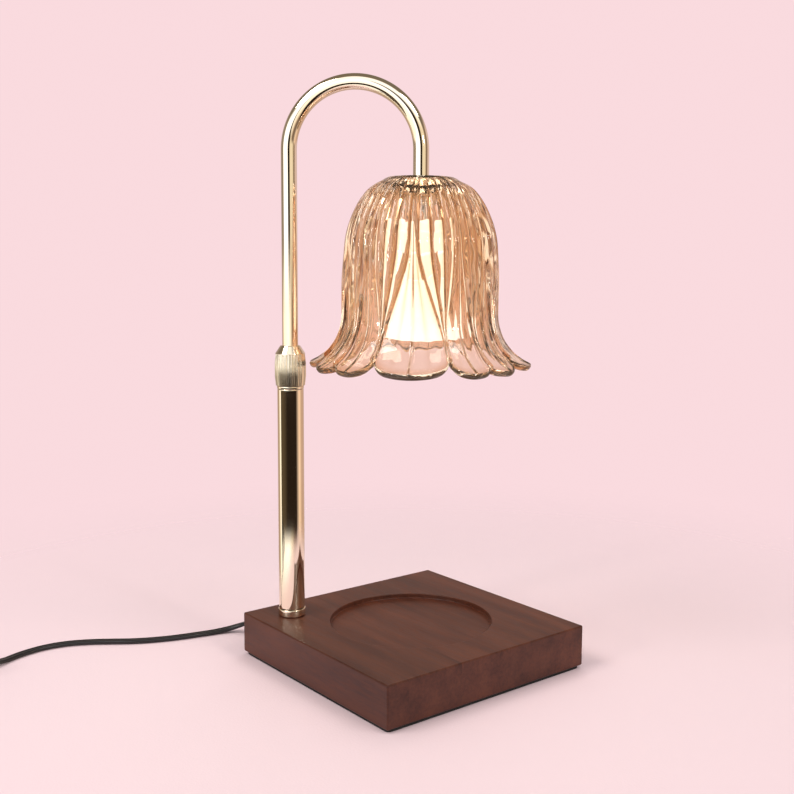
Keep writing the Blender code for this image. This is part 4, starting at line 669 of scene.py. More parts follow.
def makeBase():
    low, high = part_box("wood_base")
    wood = {
        "side": high.x - low.x,
        "ease": 0.0009,
        "recessDiameter": 0.100,
        "recessDepth": 0.003,
        "stud": 0.0053,
        "well": (0.013, 0.016),
        "cordHole": (0.0040, 0.0085),
    }
    size = (wood["side"], wood["side"], high.z - low.z)
    block = boxMesh(size, (0, 0, (low.z + high.z) / 2), wood["ease"])
    floor = high.z - wood["recessDepth"]
    radius = wood["recessDiameter"] / 2
    edge = 0.0005
    lip = [(radius + edge * (1 - math.cos(a)), high.z - edge * (1 - math.sin(a))) for a in (0, 0.4, 0.8, 1.2, math.pi / 2)]
    foot = [(radius - edge * (1 - math.sin(a)), floor + edge * (1 - math.cos(a))) for a in (0, 0.5, 1.0, math.pi / 2)]
    recess = [(0, floor), *foot, *lip, (radius + edge, high.z + 0.002), (0, high.z + 0.002)]
    cutters = [meshOf(spun(recess, 192, 0))]
    pole = Matrix.Translation((polePlace.x, polePlace.y, 0))
    wellRadius, wellDepth = wood["well"]
    hole = [(0, low.z - 0.002), (wellRadius, low.z - 0.002), (wellRadius, low.z + wellDepth), (wood["stud"], low.z + wellDepth)]
    cutters.append(meshOf(spun(hole + [(wood["stud"], high.z + 0.002), (0, high.z + 0.002)], 48, 0), pole))
    holeRadius, holeHeight = wood["cordHole"]
    passage = meshOf(spun([(0, 0), (holeRadius, 0), (holeRadius, 0.024), (0, 0.024)], 32, 0))
    passage.transform(Matrix.Translation((polePlace.x, polePlace.y, holeHeight)) @ Matrix.Rotation(-math.pi / 2, 4, "Y"))
    cutters.append(passage)
    mesh = cutWith(block, *cutters)
    finishPiece("baseBlock", mesh, "base", ["wood_base"], "walnut", smoothAngle=38, even=True)


makeBase()
print("base made")


# Pole and lock collar


def ringNode(name, body, node, slotName, steps=96, size=0.00025, extra=None):
    low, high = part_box(node)
    middle = (low + high) / 2
    outer = (high.x - low.x) / 2
    outline = extra(outer, low.z, high.z)
    mesh = meshOf(spun(outline, steps, size), Matrix.Translation((middle.x, middle.y, 0)))
    return finishPiece(name, mesh, body, [node], slotName)


poleParts = {
    "tubeWall": 0.001,
    "spigot": 0.0067,
    "studHole": 0.0053,
    "sleeveBore": 0.00505,
    "footRing": 0.0045,
    "neckNose": 0.0125,
    "neckRing": 0.0016,
}


def makePole():
    size = poleParts
    spigot, bore = size["spigot"], size["sleeveBore"]
    ringNode(
        "poleFootRing", "base", "pole_foot", "polished_gold", 96, 0.0005,
        lambda outer, low, high: [
            (size["studHole"], low),
            (outer, low),
            (outer, low + size["footRing"]),
            (spigot, low + size["footRing"]),
            (spigot, high),
            (size["studHole"], high),
        ],
    )
    ringNode(
        "poleTube", "base", "lower_tube", "polished_gold", 128, 0.0002,
        lambda outer, low, high: [(outer - size["tubeWall"], low), (outer, low), (outer, high), (outer - size["tubeWall"], high)],
    )
    ringNode(
        "neckBush", "base", "neck_bush", "polished_gold", 96, 0.0003,
        lambda outer, low, high: [
            (bore, low),
            (spigot, low),
            (spigot, high - size["neckNose"] - size["neckRing"]),
            (outer, high - size["neckNose"] - size["neckRing"]),
            (outer, high - size["neckNose"]),
            (spigot, high - size["neckNose"]),
            (spigot, high),
            (bore, high),
        ],
    )


lockCollar = {
    "bore": 0.0070,
    "topBore": 0.00505,
    "coneHeight": 0.0049,
    "topLip": 0.0060,
    "edge": 0.0006,
    "ridges": 60,
    "ridgeDepth": 0.00034,
    "clampCavity": 0.0069,
}


def knurlTree():
    tree, given = newTree("knurlTree", Radius=0.0095, Low=0.0, High=0.02, Edge=0.0006, Ridges=88, Depth=0.0002, Finish=None)
    steps = calc(tree, "MULTIPLY", given["Ridges"], 10.0)
    circle = nodeIn(tree, "GeometryNodeCurvePrimitiveCircle", {"Resolution": steps, "Radius": given["Radius"]}).outputs[0]
    index = tree.nodes.new("GeometryNodeInputIndex").outputs[0]
    around = tree.nodes.new("GeometryNodeInputPosition").outputs[0]
    uneven = nodeIn(tree, "ShaderNodeTexNoise", {"Vector": around, "Scale": 700.0, "Detail": 2.0}).outputs["Fac"]
    phase = calc(tree, "MULTIPLY", index, math.tau / 10)
    phase = calc(tree, "ADD", phase, calc(tree, "MULTIPLY", uneven, 3.0))
    groove = calc(tree, "ADD", calc(tree, "MULTIPLY", calc(tree, "COSINE", phase), 0.5), 0.5)
    groove = calc(tree, "POWER", groove, 3.0)
    deep = spread(tree, uneven, 0.25, 1.0, 0.38, 0.62)
    bite = calc(tree, "MULTIPLY", calc(tree, "MULTIPLY", groove, deep), calc(tree, "MULTIPLY", given["Depth"], -1.0))
    place = tree.nodes.new("GeometryNodeInputPosition").outputs[0]
    outward = nodeIn(tree, "ShaderNodeVectorMath", {0: place}, operation="NORMALIZE").outputs[0]
    offset = nodeIn(tree, "ShaderNodeVectorMath", {0: outward, "Scale": bite}, operation="SCALE").outputs[0]
    star = nodeIn(tree, "GeometryNodeSetPosition", {"Geometry": circle, "Offset": offset}).outputs[0]
    line = nodeIn(tree, "GeometryNodeCurvePrimitiveLine", {"Start": (0, 0, 0), "End": (0, 0, 1)}).outputs[0]
    line = nodeIn(tree, "GeometryNodeResampleCurve", {"Curve": line, "Count": 8}).outputs[0]
    share = nodeIn(tree, "GeometryNodeSplineParameter").outputs["Factor"]
    rows = nodeIn(tree, "ShaderNodeFloatCurve", {"Value": share})
    heights = rows.mapping.curves[0]
    for x, y in ((1 / 7, 0.012), (2 / 7, 0.035), (3 / 7, 0.30), (4 / 7, 0.70), (5 / 7, 0.965), (6 / 7, 0.988)):
        heights.points.new(x, y)
    for point in heights.points:
        point.handle_type = "VECTOR"
    rows.mapping.update()
    level = rows.outputs[0]
    height = nodeIn(tree, "ShaderNodeMapRange", {"Value": level, "To Min": given["Low"], "To Max": given["High"]}).outputs["Result"]
    line = nodeIn(tree, "GeometryNodeSetPosition", {"Geometry": line, "Position": nodeIn(tree, "ShaderNodeCombineXYZ", {"Z": height}).outputs[0]}).outputs[0]
    fromEnd = calc(tree, "MINIMUM", calc(tree, "SUBTRACT", height, given["Low"]), calc(tree, "SUBTRACT", given["High"], height))
    drawnIn = calc(tree, "MAXIMUM", calc(tree, "SUBTRACT", given["Edge"], fromEnd), 0.0)
    size = calc(tree, "SUBTRACT", 1.0, calc(tree, "DIVIDE", drawnIn, given["Radius"]))
    sleeve = nodeIn(tree, "GeometryNodeCurveToMesh", {"Curve": line, "Profile Curve": star, "Scale": size}).outputs[0]
    endTree(tree, sleeve, given["Finish"])
    return tree


def makeCollar(size):
    low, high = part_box("lock_collar")
    radius = (high.x - low.x) / 2
    knurlTop = high.z - size["coneHeight"]
    cavityTop = low.z + 0.0173
    core = [
        (size["bore"], low.z),
        (radius - size["edge"] - 0.0003, low.z),
        (radius - size["edge"] - 0.0003, knurlTop - 0.0001),
        (radius - 0.0004, knurlTop - 0.0001),
        (radius - 0.0004, knurlTop + 0.0002),
        (size["topLip"], high.z),
        (size["topBore"], high.z),
        (size["topBore"], cavityTop + 0.0008),
        (size["bore"], cavityTop),
    ]
    body = meshOf(spun(core, 128, 0.00015), poleFrame)
    knurl = runTree(
        knurlTree(), bpy.data.meshes.new("empty"), Radius=radius, Low=low.z, High=knurlTop, Edge=size["edge"],
        Ridges=size["ridges"], Depth=size["ridgeDepth"], Finish=finishes["satin_gold"],
    )
    knurl.transform(poleFrame)
    cone = finishPiece("collarCone", body, "lock_collar", ["lock_collar"], "polished_gold")
    sleeve = finishPiece("collarKnurl", knurl, "lock_collar", [], "satin_gold", smoothAngle=32)
    return cone, sleeve


makePole()
makeCollar(lockCollar)
print("pole and collar made")


# Gooseneck

gooseneck = {"radius": 0.00475, "wall": 0.0008, "archSteps": 96, "sides": 64}


def makeGooseneck(size):
    low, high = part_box("gooseneck_tube")
    reach = (shadePlace - polePlace).to_2d().length
    archRadius = reach / 2
    archHeight = high.z - size["radius"] - archRadius
    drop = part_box("cover_disc")[1].z + 0.0003
    spine = [(Vector((0, 0, low.z)), 0.0)]
    for i in range(size["archSteps"] + 1):
        angle = math.pi * i / size["archSteps"]
        place = Vector((archRadius * (1 - math.cos(angle)), 0, archHeight + archRadius * math.sin(angle)))
        spine.append((place, angle))
    spine.append((Vector((reach, 0, drop)), math.pi))
    bm = bmesh.new()
    loops = []
    walls = [(size["radius"], spine), (size["radius"] - size["wall"], spine[::-1])]
    for radius, centres in walls:
        for centre, angle in centres:
            ring = []
            for k in range(size["sides"]):
                turn = math.tau * k / size["sides"]
                across = radius * math.cos(turn)
                ring.append(bm.verts.new(centre + Vector((across * math.cos(angle), radius * math.sin(turn), -across * math.sin(angle)))))
            loops.append(ring)
    for lower, upper in zip(loops, loops[1:] + loops[:1]):
        for k in range(size["sides"]):
            j = (k + 1) % size["sides"]
            bm.faces.new((lower[k], lower[j], upper[j], upper[k]))
    finishPiece("gooseneckTube", meshOf(bm, poleFrame), "arm", ["gooseneck_tube"], "polished_gold")


makeGooseneck(gooseneck)
print("gooseneck made")


# Pressed-glass shade

petalShade = {
    "bellTop": 0.0175,
    "bellRadius": 0.0464,
    "bellDepth": 0.0851,
    "flareDrop": 0.0241,
    "flareReach": 0.0192,
    "wall": 0.0033,
    "rimWall": 0.0052,
    "thickenFrom": 0.78,
    "lip": 0.0016,
    "topWall": 0.0036,
    "seatDepth": 0.0012,
    "seatRadius": 0.0123,
    "holeRadius": 0.00395,
    "relief": 0.0021,
    "deepNotch": 0.0150,
    "shallowNotch": 0.0062,
    "turn": math.radians(1.0),
    "panelStart": 0.36,
    "panelFull": 0.93,
    "panelWidth": 0.93,
    "columnsPerRib": 14,
    "widePanelColumns": 32,
    "narrowPanelColumns": 16,
    "outerRows": 84,
    "innerRows": 30,
    "lipRows": 7,
    "bellShares": (
        (0.000, 0.377),
        (0.003, 0.430),
        (0.024, 0.495),
        (0.063, 0.598),
        (0.157, 0.748),
        (0.273, 0.862),
        (0.405, 0.938),
        (0.552, 0.968),
        (0.713, 0.991),
        (0.874, 1.000),
        (1.000, 1.016),
    ),
    "flareShares": ((0.394, 0.170), (0.693, 0.440), (0.888, 0.740), (1.000, 1.000)),
    "petalSixteenths": (2, 1, 1),
    "sideRibs": {2: 2, 1: 1},
    "centreBand": {2: 0.13, 1: 0.28},
    "smoothTop": (0.05, 0.13),
    "innerWaves": 0.0007,
    "seam": 0.28,
}


def shadeProfile(size):
    knots = [(radius * size["bellRadius"], 0, depth * size["bellDepth"]) for depth, radius in size["bellShares"]]
    edge = knots[-1][0]
    knots += [(edge + r * size["flareReach"], 0, size["bellDepth"] + d * size["flareDrop"]) for d, r in size["flareShares"]]
    return evenly(smoothCurve(knots, 24), 0.0008)


def petalColumns(size):
    columns = []
    unit = math.tau / 16
    angle = -unit
    kinds = size["petalSixteenths"] * 4
    for i, kind in enumerate(kinds):
        half = unit * kind / 2
        centre = angle + half
        angle += 2 * half
        ribs = size["sideRibs"][kind]
        root = size["centreBand"][kind]
        panel = size["widePanelColumns"] if kind == 2 else size["narrowPanelColumns"]
        perRib = size["columnsPerRib"]
        places = [-1 + (1 - root) * k / (ribs * perRib) for k in range(ribs * perRib)]
        steps = (2 * k / panel - 1 for k in range(panel))
        places += [root * math.copysign(abs(step) ** 1.5, step) for step in steps]
        places += [root + (1 - root) * k / (ribs * perRib) for k in range(ribs * perRib)]
        notches = [size["deepNotch"] if kind == 2 or kinds[n % 12] == 2 else size["shallowNotch"] for n in (i - 1, i + 1)]
        ribWidth = (1 - root) / ribs
        columns += [(centre, half, place, root, ribWidth, notches[0] if place < 0 else notches[1]) for place in places]
    return columns


def shadeGrid(size):
    columns = petalColumns(size)
    rows = []
    for i in range(size["outerRows"] + 1):
        share = i / size["outerRows"]
        share = 0.5 * share + 0.5 * (1 - (1 - share) ** 1.6) if share > 0 else 0.0
        rows.append((share, 0.0, 0.0, 1.0))
    for i in range(1, size["lipRows"]):
        angle = math.pi * i / size["lipRows"]
        rows.append((1.0, size["rimWall"] / 2 * (1 - math.cos(angle)), size["lip"] * math.sin(angle), max(0.0, 1 - i / 3)))
    for i in range(size["innerRows"] + 1):
        share = 1 - i / size["innerRows"] * 0.86
        growth = max(0.0, (share - size["thickenFrom"]) / (1 - size["thickenFrom"]))
        rows.append((share, size["wall"] + (size["rimWall"] - size["wall"]) * growth, 0.0, 0.0))
    mesh = bpy.data.meshes.new("shadeGrid")
    verts, faces = [], []
    wide = len(columns)
    fields = {name: [] for name in ("rowShare", "inward", "past", "ribbed", "centre", "half", "across", "root", "ribWidth", "notch")}
    for share, inward, past, ribbed in rows:
        for column in columns:
            verts.append((len(verts) % wide, len(verts) // wide, 0))
            for name, value in zip(fields, (share, inward, past, ribbed, *column)):
                fields[name].append(value)
    for row in range(len(rows) - 1):
        for k in range(wide):
            j = (k + 1) % wide
            faces.append((row * wide + k, (row + 1) * wide + k, (row + 1) * wide + j, row * wide + j))
    mesh.from_pydata(verts, [], faces)
    for name, values in fields.items():
        mesh.attributes.new(name, "FLOAT", "POINT").data.foreach_set("value", values)
    return mesh


def petalTree(profile):
    tree, given = newTree(
        "petalTree", Length=0.15, Relief=0.0014, Turn=0.0, Top=0.3, PanelStart=0.36, PanelFull=0.93, PanelWidth=0.93,
        SmoothFrom=0.03, SmoothTo=0.11, Seam=0.3, Waves=0.0003, Finish=None,
    )

    def field(name):
        node = nodeIn(tree, "GeometryNodeInputNamedAttribute", {"Name": name}, data_type="FLOAT")
        return node.outputs["Attribute"]

    def do(operation, *values):
        return calc(tree, operation, *values)

    row, side, root = field("rowShare"), do("ABSOLUTE", field("across")), field("root")
    opening = nodeIn(
        tree, "ShaderNodeMapRange",
        {"Value": row, "From Min": given["PanelStart"], "From Max": given["PanelFull"]}, interpolation_type="SMOOTHSTEP",
    ).outputs["Result"]
    merged = nodeIn(tree, "ShaderNodeMapRange", {"Value": row, "From Min": 0.75, "From Max": 1.0}, interpolation_type="SMOOTHSTEP").outputs["Result"]
    panel = do("ADD", root, do("MULTIPLY", do("SUBTRACT", given["PanelWidth"], root), opening))
    outside = do("GREATER_THAN", side, root)
    inPanel = do("SUBTRACT", 1.0, outside)
    along = do("DIVIDE", do("SUBTRACT", side, root), do("SUBTRACT", 1.0, root))
    innerSpread = do("MULTIPLY", do("DIVIDE", side, root), panel)
    outerSpread = do("ADD", panel, do("MULTIPLY", do("SUBTRACT", 1.0, panel), along))
    across = do("ADD", do("MULTIPLY", inPanel, innerSpread), do("MULTIPLY", outside, outerSpread))
    swell = do("SUBTRACT", 1.0, do("POWER", do("DIVIDE", side, root), 4.0))
    panelRelief = do("SUBTRACT", do("MULTIPLY", do("SUBTRACT", 1.0, opening), swell), 0.5)
    seam = do("MAXIMUM", do("SUBTRACT", 1.0, do("DIVIDE", side, do("MULTIPLY", root, 0.06))), 0.0)
    panelRelief = do("ADD", panelRelief, do("MULTIPLY", seam, given["Seam"]))
    ripple = do("SINE", do("MULTIPLY", do("DIVIDE", do("SUBTRACT", side, root), field("ribWidth")), math.pi))
    wave = do("SUBTRACT", do("POWER", do("ABSOLUTE", ripple), 0.5), 0.5)
    bundle = do("MULTIPLY", do("SINE", do("MULTIPLY", do("MINIMUM", do("MULTIPLY", along, 2.0), 1.0), math.pi)), 0.5)
    ribRelief = do("ADD", do("MULTIPLY", wave, do("SUBTRACT", 1.0, merged)), do("MULTIPLY", bundle, merged))
    relief = do("ADD", do("MULTIPLY", inPanel, panelRelief), do("MULTIPLY", outside, ribRelief))
    # Painted shade: the glass is darkened in the grooves, along faint lines down each panel and at the lip, where bent
    # light shows dark lines
    groove = do("MULTIPLY", outside, do("POWER", do("SUBTRACT", 1.0, do("ABSOLUTE", ripple)), 1.6))
    paintedPleatShade = do("ABSOLUTE", do("SINE", do("MULTIPLY", do("DIVIDE", side, root), math.tau)))
    paintedPleatShade = do("MULTIPLY", inPanel, do("POWER", do("SUBTRACT", 1.0, paintedPleatShade), 1.6))
    paintedPleatShade = do("MULTIPLY", paintedPleatShade, do("SUBTRACT", 1.0, do("MULTIPLY", opening, 0.85)))
    paintedLipShade = nodeIn(tree, "ShaderNodeMapRange", {"Value": row, "From Min": 0.955, "From Max": 1.0, "To Max": 0.55}).outputs["Result"]
    paintedShadeDepth = do("MAXIMUM", do("MAXIMUM", groove, paintedPleatShade), paintedLipShade)
    rounding = do("SUBTRACT", 1.0, do("SQRT", do("MAXIMUM", do("SUBTRACT", 1.0, do("MULTIPLY", across, across)), 0.0)))
    shortened = do("SUBTRACT", 1.0, do("DIVIDE", do("MULTIPLY", field("notch"), rounding), given["Length"]))
    own = do("ADD", do("MULTIPLY", row, shortened), do("DIVIDE", field("past"), given["Length"]))
    bell = nodeIn(tree, "GeometryNodeObjectInfo", {"Object": profile}).outputs["Geometry"]
    bell = nodeIn(tree, "GeometryNodeMeshToCurve", {"Mesh": bell}).outputs[0]
    spot = nodeIn(tree, "GeometryNodeSampleCurve", {"Curves": bell, "Factor": own}, mode="FACTOR", use_all_curves=True)
    place = nodeIn(tree, "ShaderNodeSeparateXYZ", {"Vector": spot.outputs["Position"]}).outputs
    heading = nodeIn(tree, "ShaderNodeSeparateXYZ", {"Vector": spot.outputs["Tangent"]}).outputs
    topFade = {"Value": row, "From Min": given["SmoothFrom"], "From Max": given["SmoothTo"]}
    topFade = nodeIn(tree, "ShaderNodeMapRange", topFade, interpolation_type="SMOOTHSTEP").outputs["Result"]
    lift = do("MULTIPLY", do("MULTIPLY", relief, given["Relief"]), do("MULTIPLY", field("ribbed"), topFade))
    swing = do("ADD", field("centre"), do("MULTIPLY", do("MULTIPLY", field("half"), across), do("SIGN", field("across"))))
    around = nodeIn(
        tree, "ShaderNodeCombineXYZ", {"X": do("COSINE", swing), "Y": do("SINE", swing), "Z": do("MULTIPLY", row, 0.9)}
    ).outputs[0]
    uneven = nodeIn(tree, "ShaderNodeTexNoise", {"Vector": around, "Scale": 7.0, "Detail": 2.0}).outputs["Fac"]
    inside = do("MULTIPLY", do("GREATER_THAN", field("inward"), 0.0032), do("SUBTRACT", 1.0, field("ribbed")))
    inside = do("MULTIPLY", inside, do("LESS_THAN", row, 0.999))
    uneven = do("MULTIPLY", do("MULTIPLY", do("SUBTRACT", uneven, 0.5), 4.0), do("MULTIPLY", inside, given["Waves"]))
    inward = do("ADD", do("SUBTRACT", field("inward"), lift), uneven)
    pastEnd = do("MAXIMUM", do("SUBTRACT", do("MULTIPLY", own, given["Length"]), given["Length"]), 0.0)
    radius = do("SUBTRACT", place["X"], do("MULTIPLY", inward, heading["Z"]))
    radius = do("ADD", radius, do("MULTIPLY", pastEnd, heading["X"]))
    depth = do("ADD", place["Z"], do("MULTIPLY", inward, heading["X"]))
    depth = do("ADD", depth, do("MULTIPLY", pastEnd, heading["Z"]))
    swing = do("MULTIPLY", do("MULTIPLY", field("half"), across), do("SIGN", field("across")))
    angle = do("ADD", do("ADD", field("centre"), swing), given["Turn"])
    final = nodeIn(
        tree, "ShaderNodeCombineXYZ",
        {
            "X": do("MULTIPLY", radius, do("COSINE", angle)),
            "Y": do("MULTIPLY", radius, do("SINE", angle)),
            "Z": do("SUBTRACT", given["Top"], depth),
        },
    ).outputs[0]
    # The painted shade is stored as the tone attribute that the glass material reads
    toned = {"Geometry": given["Geometry"], "Name": "tone", "Value": paintedShadeDepth}
    toned = nodeIn(tree, "GeometryNodeStoreNamedAttribute", toned, data_type="FLOAT", domain="POINT").outputs[0]
    shaped = nodeIn(tree, "GeometryNodeSetPosition", {"Geometry": toned, "Position": final}).outputs[0]
    endTree(tree, shaped, given["Finish"])
    return tree


def makeShade(size):
    profilePoints = shadeProfile(size)
    profile = bpy.data.objects.new("shadeProfile", lineMesh(profilePoints))
    bpy.context.scene.collection.objects.link(profile)
    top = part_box("shade_glass")[1].z
    sizes = {"Length": pathLength(profilePoints), "Relief": size["relief"], "Turn": size["turn"], "Top": top}
    panels = {"PanelStart": size["panelStart"], "PanelFull": size["panelFull"], "PanelWidth": size["panelWidth"]}
    panels |= {"SmoothFrom": size["smoothTop"][0], "SmoothTo": size["smoothTop"][1], "Seam": size["seam"]}
    panels["Waves"] = size["innerWaves"]
    tree = petalTree(profile)
    grid = runTree(tree, shadeGrid(size), Finish=finishes["champagne_glass"], **sizes, **panels)
    bpy.data.objects.remove(profile)
    bm = bmesh.new()
    bm.from_mesh(grid)
    bpy.data.meshes.remove(grid)
    bm.verts.ensure_lookup_table()
    wide = len(petalColumns(size))

    def closeWith(start, outline):
        # Rings from an open edge of the grid, through the outline, to the next open edge
        previous = start
        for radius, z in outline:
            ring = []
            for vert in start:
                flat = Vector((vert.co.x, vert.co.y, 0)).normalized()
                ring.append(bm.verts.new((flat.x * radius, flat.y * radius, z)))
            for k in range(wide):
                j = (k + 1) % wide
                bm.faces.new((previous[k], previous[j], ring[j], ring[k]))
            previous = ring
        return previous

    outerTop = [bm.verts[k] for k in range(wide)]
    innerTop = [bm.verts[len(bm.verts) - wide + k] for k in range(wide)]
    ceiling = top - size["seatDepth"] - size["topWall"]
    outer = closeWith(outerTop, [(size["seatRadius"] + 0.0004, top), (size["seatRadius"], top - 0.0004), (size["seatRadius"], top - size["seatDepth"])])
    inner = closeWith(innerTop, [(size["bellTop"] - 0.001, ceiling), (size["holeRadius"], ceiling), (size["holeRadius"], top - size["seatDepth"])])
    for k in range(wide):
        j = (k + 1) % wide
        bm.faces.new((outer[k], outer[j], inner[j], inner[k]))
    finishPiece("petalShade", meshOf(bm, shadeFrame), "arm", ["shade_glass"], "champagne_glass", smoothAngle=40)


makeShade(petalShade)
print("shade made")


# Fittings under the shade, lampholder and lamp


def spunAtShade(name, body, node, slotName, outline, steps=96, size=0.0002):
    mesh = meshOf(spun(outline, steps, size), shadeFrame)
    return finishPiece(name, mesh, body, [node] if node else [], slotName)


def nutRing(radiusAt, heightAt, columns=96):
    angles = [math.tau * k / columns for k in range(columns)]
    return [(radiusAt(a) * math.cos(a), radiusAt(a) * math.sin(a), heightAt(a)) for a in angles]


def hexNut(flats, bore, low, high, boss=None, bossHeight=0.0):
    half, sixth, lead = flats / 2, math.tau / 6, 0.0003
    inner = half * 0.985

    def side(angle):
        return half / math.cos((angle % sixth) - sixth / 2)

    def droop(angle):
        return (side(angle) - inner) * 0.5

    rings = [nutRing(lambda a: bore, lambda a: low + lead), nutRing(lambda a: bore + lead, lambda a: low)]
    if boss:
        for radius, height in ((boss - lead, 0.0), (boss, lead), (boss, bossHeight)):
            rings.append(nutRing(lambda a, r=radius: r, lambda a, h=height: low + h))
    rings += [
        nutRing(lambda a: inner, lambda a: low + bossHeight),
        nutRing(side, lambda a: low + bossHeight + droop(a)),
        nutRing(side, lambda a: high - droop(a)),
        nutRing(lambda a: inner, lambda a: high),
        nutRing(lambda a: bore + lead, lambda a: high),
        nutRing(lambda a: bore, lambda a: high - lead),
    ]
    return loftedMesh(rings, closed=True, place=shadeFrame)


def crossScrew(head, headHeight, shank, length):
    # Head up, the underside of the head at zero
    outline = [(0, -length), (shank, -length), (shank, 0), (head, 0), (head, headHeight * 0.45)]
    outline += [(head * 0.86, headHeight * 0.78), (head * 0.5, headHeight * 0.96), (0, headHeight)]
    mesh = meshOf(spun(outline, 40, 0.00008))
    width, reach = head * 0.26, head * 1.15
    bars = [(width, reach, headHeight), (reach, width, headHeight)]
    return cutWith(mesh, *(boxMesh(bar, (0, 0, headHeight * 0.95)) for bar in bars))


fittings = {
    "shadeNutFlats": 0.0108,
    "shadeNutBoss": (0.0045, 0.0034),
    "bracketNutFlats": 0.0100,
    "bracket": (0.008, 0.026, 0.002),
    "screwHead": (0.0026, 0.0018),
    "screwShank": (0.0015, 0.0170),
    "screwSpread": 0.0095,
    "wireRadius": 0.0008,
    "wireSpread": (0.00115, 0.0042),
    "nippleRadius": 0.00365,
    "clearance": 0.00395,
    "cupWall": 0.0012,
    "cupDraft": 0.001,
    "threadPitch": 0.0010,
    "threadDepth": 0.0003,
    "holderRadius": 0.015,
    "lampRim": 0.025,
    "lampWall": 0.0014,
    "reflector": ((0.0, 1.0), (0.04, 1.0), (0.08, 0.995), (0.28, 0.93), (0.50, 0.82), (0.72, 0.68), (0.90, 0.55), (1.0, 0.50)),
}


def makeFittings(size):
    low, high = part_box("cover_disc")
    outer = (high.x - low.x) / 2
    clear = size["clearance"]
    spunAtShade("coverDisc", "arm", "cover_disc", "polished_gold", [(clear, low.z), (outer, low.z), (outer, high.z), (clear, high.z)], 128)
    low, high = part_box("retaining_cup")
    outer = (high.x - low.x) / 2
    wall, draft = size["cupWall"], size["cupDraft"]
    cup = [
        (clear, high.z - wall),
        (outer - wall - draft, high.z - wall),
        (outer - wall - draft, low.z),
        (outer - draft, low.z),
        (outer, high.z),
        (clear, high.z),
    ]
    spunAtShade("retainingCup", "arm", "retaining_cup", "satin_gold", cup)
    low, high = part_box("nipple")
    radius, pitch, depth = size["nippleRadius"], size["threadPitch"], size["threadDepth"]
    turns = int((high.z - low.z) / pitch)
    thread = [(radius - 0.00105, low.z)]
    for i in range(turns):
        thread += [(radius - depth, low.z + i * pitch), (radius, low.z + (i + 0.5) * pitch)]
    thread += [(radius - depth, high.z), (radius - 0.00105, high.z)]
    spunAtShade("nippleThread", "arm", "nipple", "zinc_steel", thread, 48, 0)
    low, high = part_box("lampholder")
    outer = size["holderRadius"]
    holder = [
        (0, low.z + 0.0008),
        (outer - 0.0012, low.z + 0.0008),
        (outer - 0.0012, low.z),
        (outer, low.z),
        (outer, high.z - 0.007),
        (outer - 0.0008, high.z - 0.0065),
        (outer - 0.0008, high.z - 0.002),
        (outer - 0.002, high.z),
        (0, high.z),
    ]
    spunAtShade("lampHolder", "arm", "lampholder", "ceramic", holder, 96, 0.0003)
    low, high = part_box("bulb_base")
    outer = (high.x - low.x) / 2
    base = [(0, low.z), (outer - 0.0006, low.z), (outer, low.z + 0.003), (outer, high.z - 0.0015), (outer - 0.0015, high.z), (0, high.z)]
    spunAtShade("lampBase", "lamp", "bulb_base", "ceramic", base, 96, 0.0003)
    low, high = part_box("shade_nut")
    boss, bossHeight = size["shadeNutBoss"]
    nut = hexNut(size["shadeNutFlats"], clear, low.z, high.z, boss, bossHeight)
    finishPiece("shadeNut", nut, "arm", ["shade_nut"], "nickel", smoothAngle=25, even=True)
    low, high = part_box("bracket_nut")
    nut = hexNut(size["bracketNutFlats"], clear, low.z, high.z)
    finishPiece("bracketNut", nut, "arm", ["bracket_nut"], "zinc_steel", smoothAngle=25, even=True)
    makeBracket(size)
    makeWires(size)


def makeBracket(size):
    low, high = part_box("holder_bracket")
    across, along, corner = size["bracket"]
    ease = 0.0002
    outer = [
        softRectangle(across - 2 * inset, along - 2 * inset, corner - inset, height)
        for inset, height in ((ease, low.z), (0, low.z + ease), (0, high.z - ease), (ease, high.z))
    ]
    bore = [Vector(point).to_2d().normalized() * size["clearance"] for point in outer[0]]
    rings = [[(p.x, p.y, low.z) for p in bore], *outer, [(p.x, p.y, high.z) for p in bore]]
    strap = loftedMesh(rings, closed=True, place=shadeFrame)
    finishPiece("holderStrap", strap, "arm", ["holder_bracket"], "zinc_steel", even=True)
    head, headHeight = size["screwHead"]
    shank, length = size["screwShank"]
    places = [(0, side * size["screwSpread"], high.z + 0.0003) for side in (-1, 1)]
    screws = placedCopies(crossScrew(head, headHeight, shank, length), places, "zinc_steel")
    screws.transform(shadeFrame)
    finishPiece("holderScrews", screws, "arm", ["holder_screw_1", "holder_screw_2"], "zinc_steel")


def makeWires(size):
    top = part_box("nipple")[0].z - 0.0003
    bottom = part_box("lampholder")[1].z + 0.0003
    near, far = size["wireSpread"]
    wires = []
    for side in (-1, 1):
        knots = [(near, top), (near, top - (top - bottom) / 4), (far, bottom + (top - bottom) / 4), (far, bottom)]
        path = evenly(smoothCurve([(side * x, 0, z) for x, z in knots]), 0.0005)
        wires.append(roundTube(path, size["wireRadius"], "white_insulation"))
    mesh = joined(*wires)
    mesh.transform(shadeFrame)
    finishPiece("holderWires", mesh, "arm", ["live_wire", "neutral_wire"], "white_insulation", smoothAngle=60)


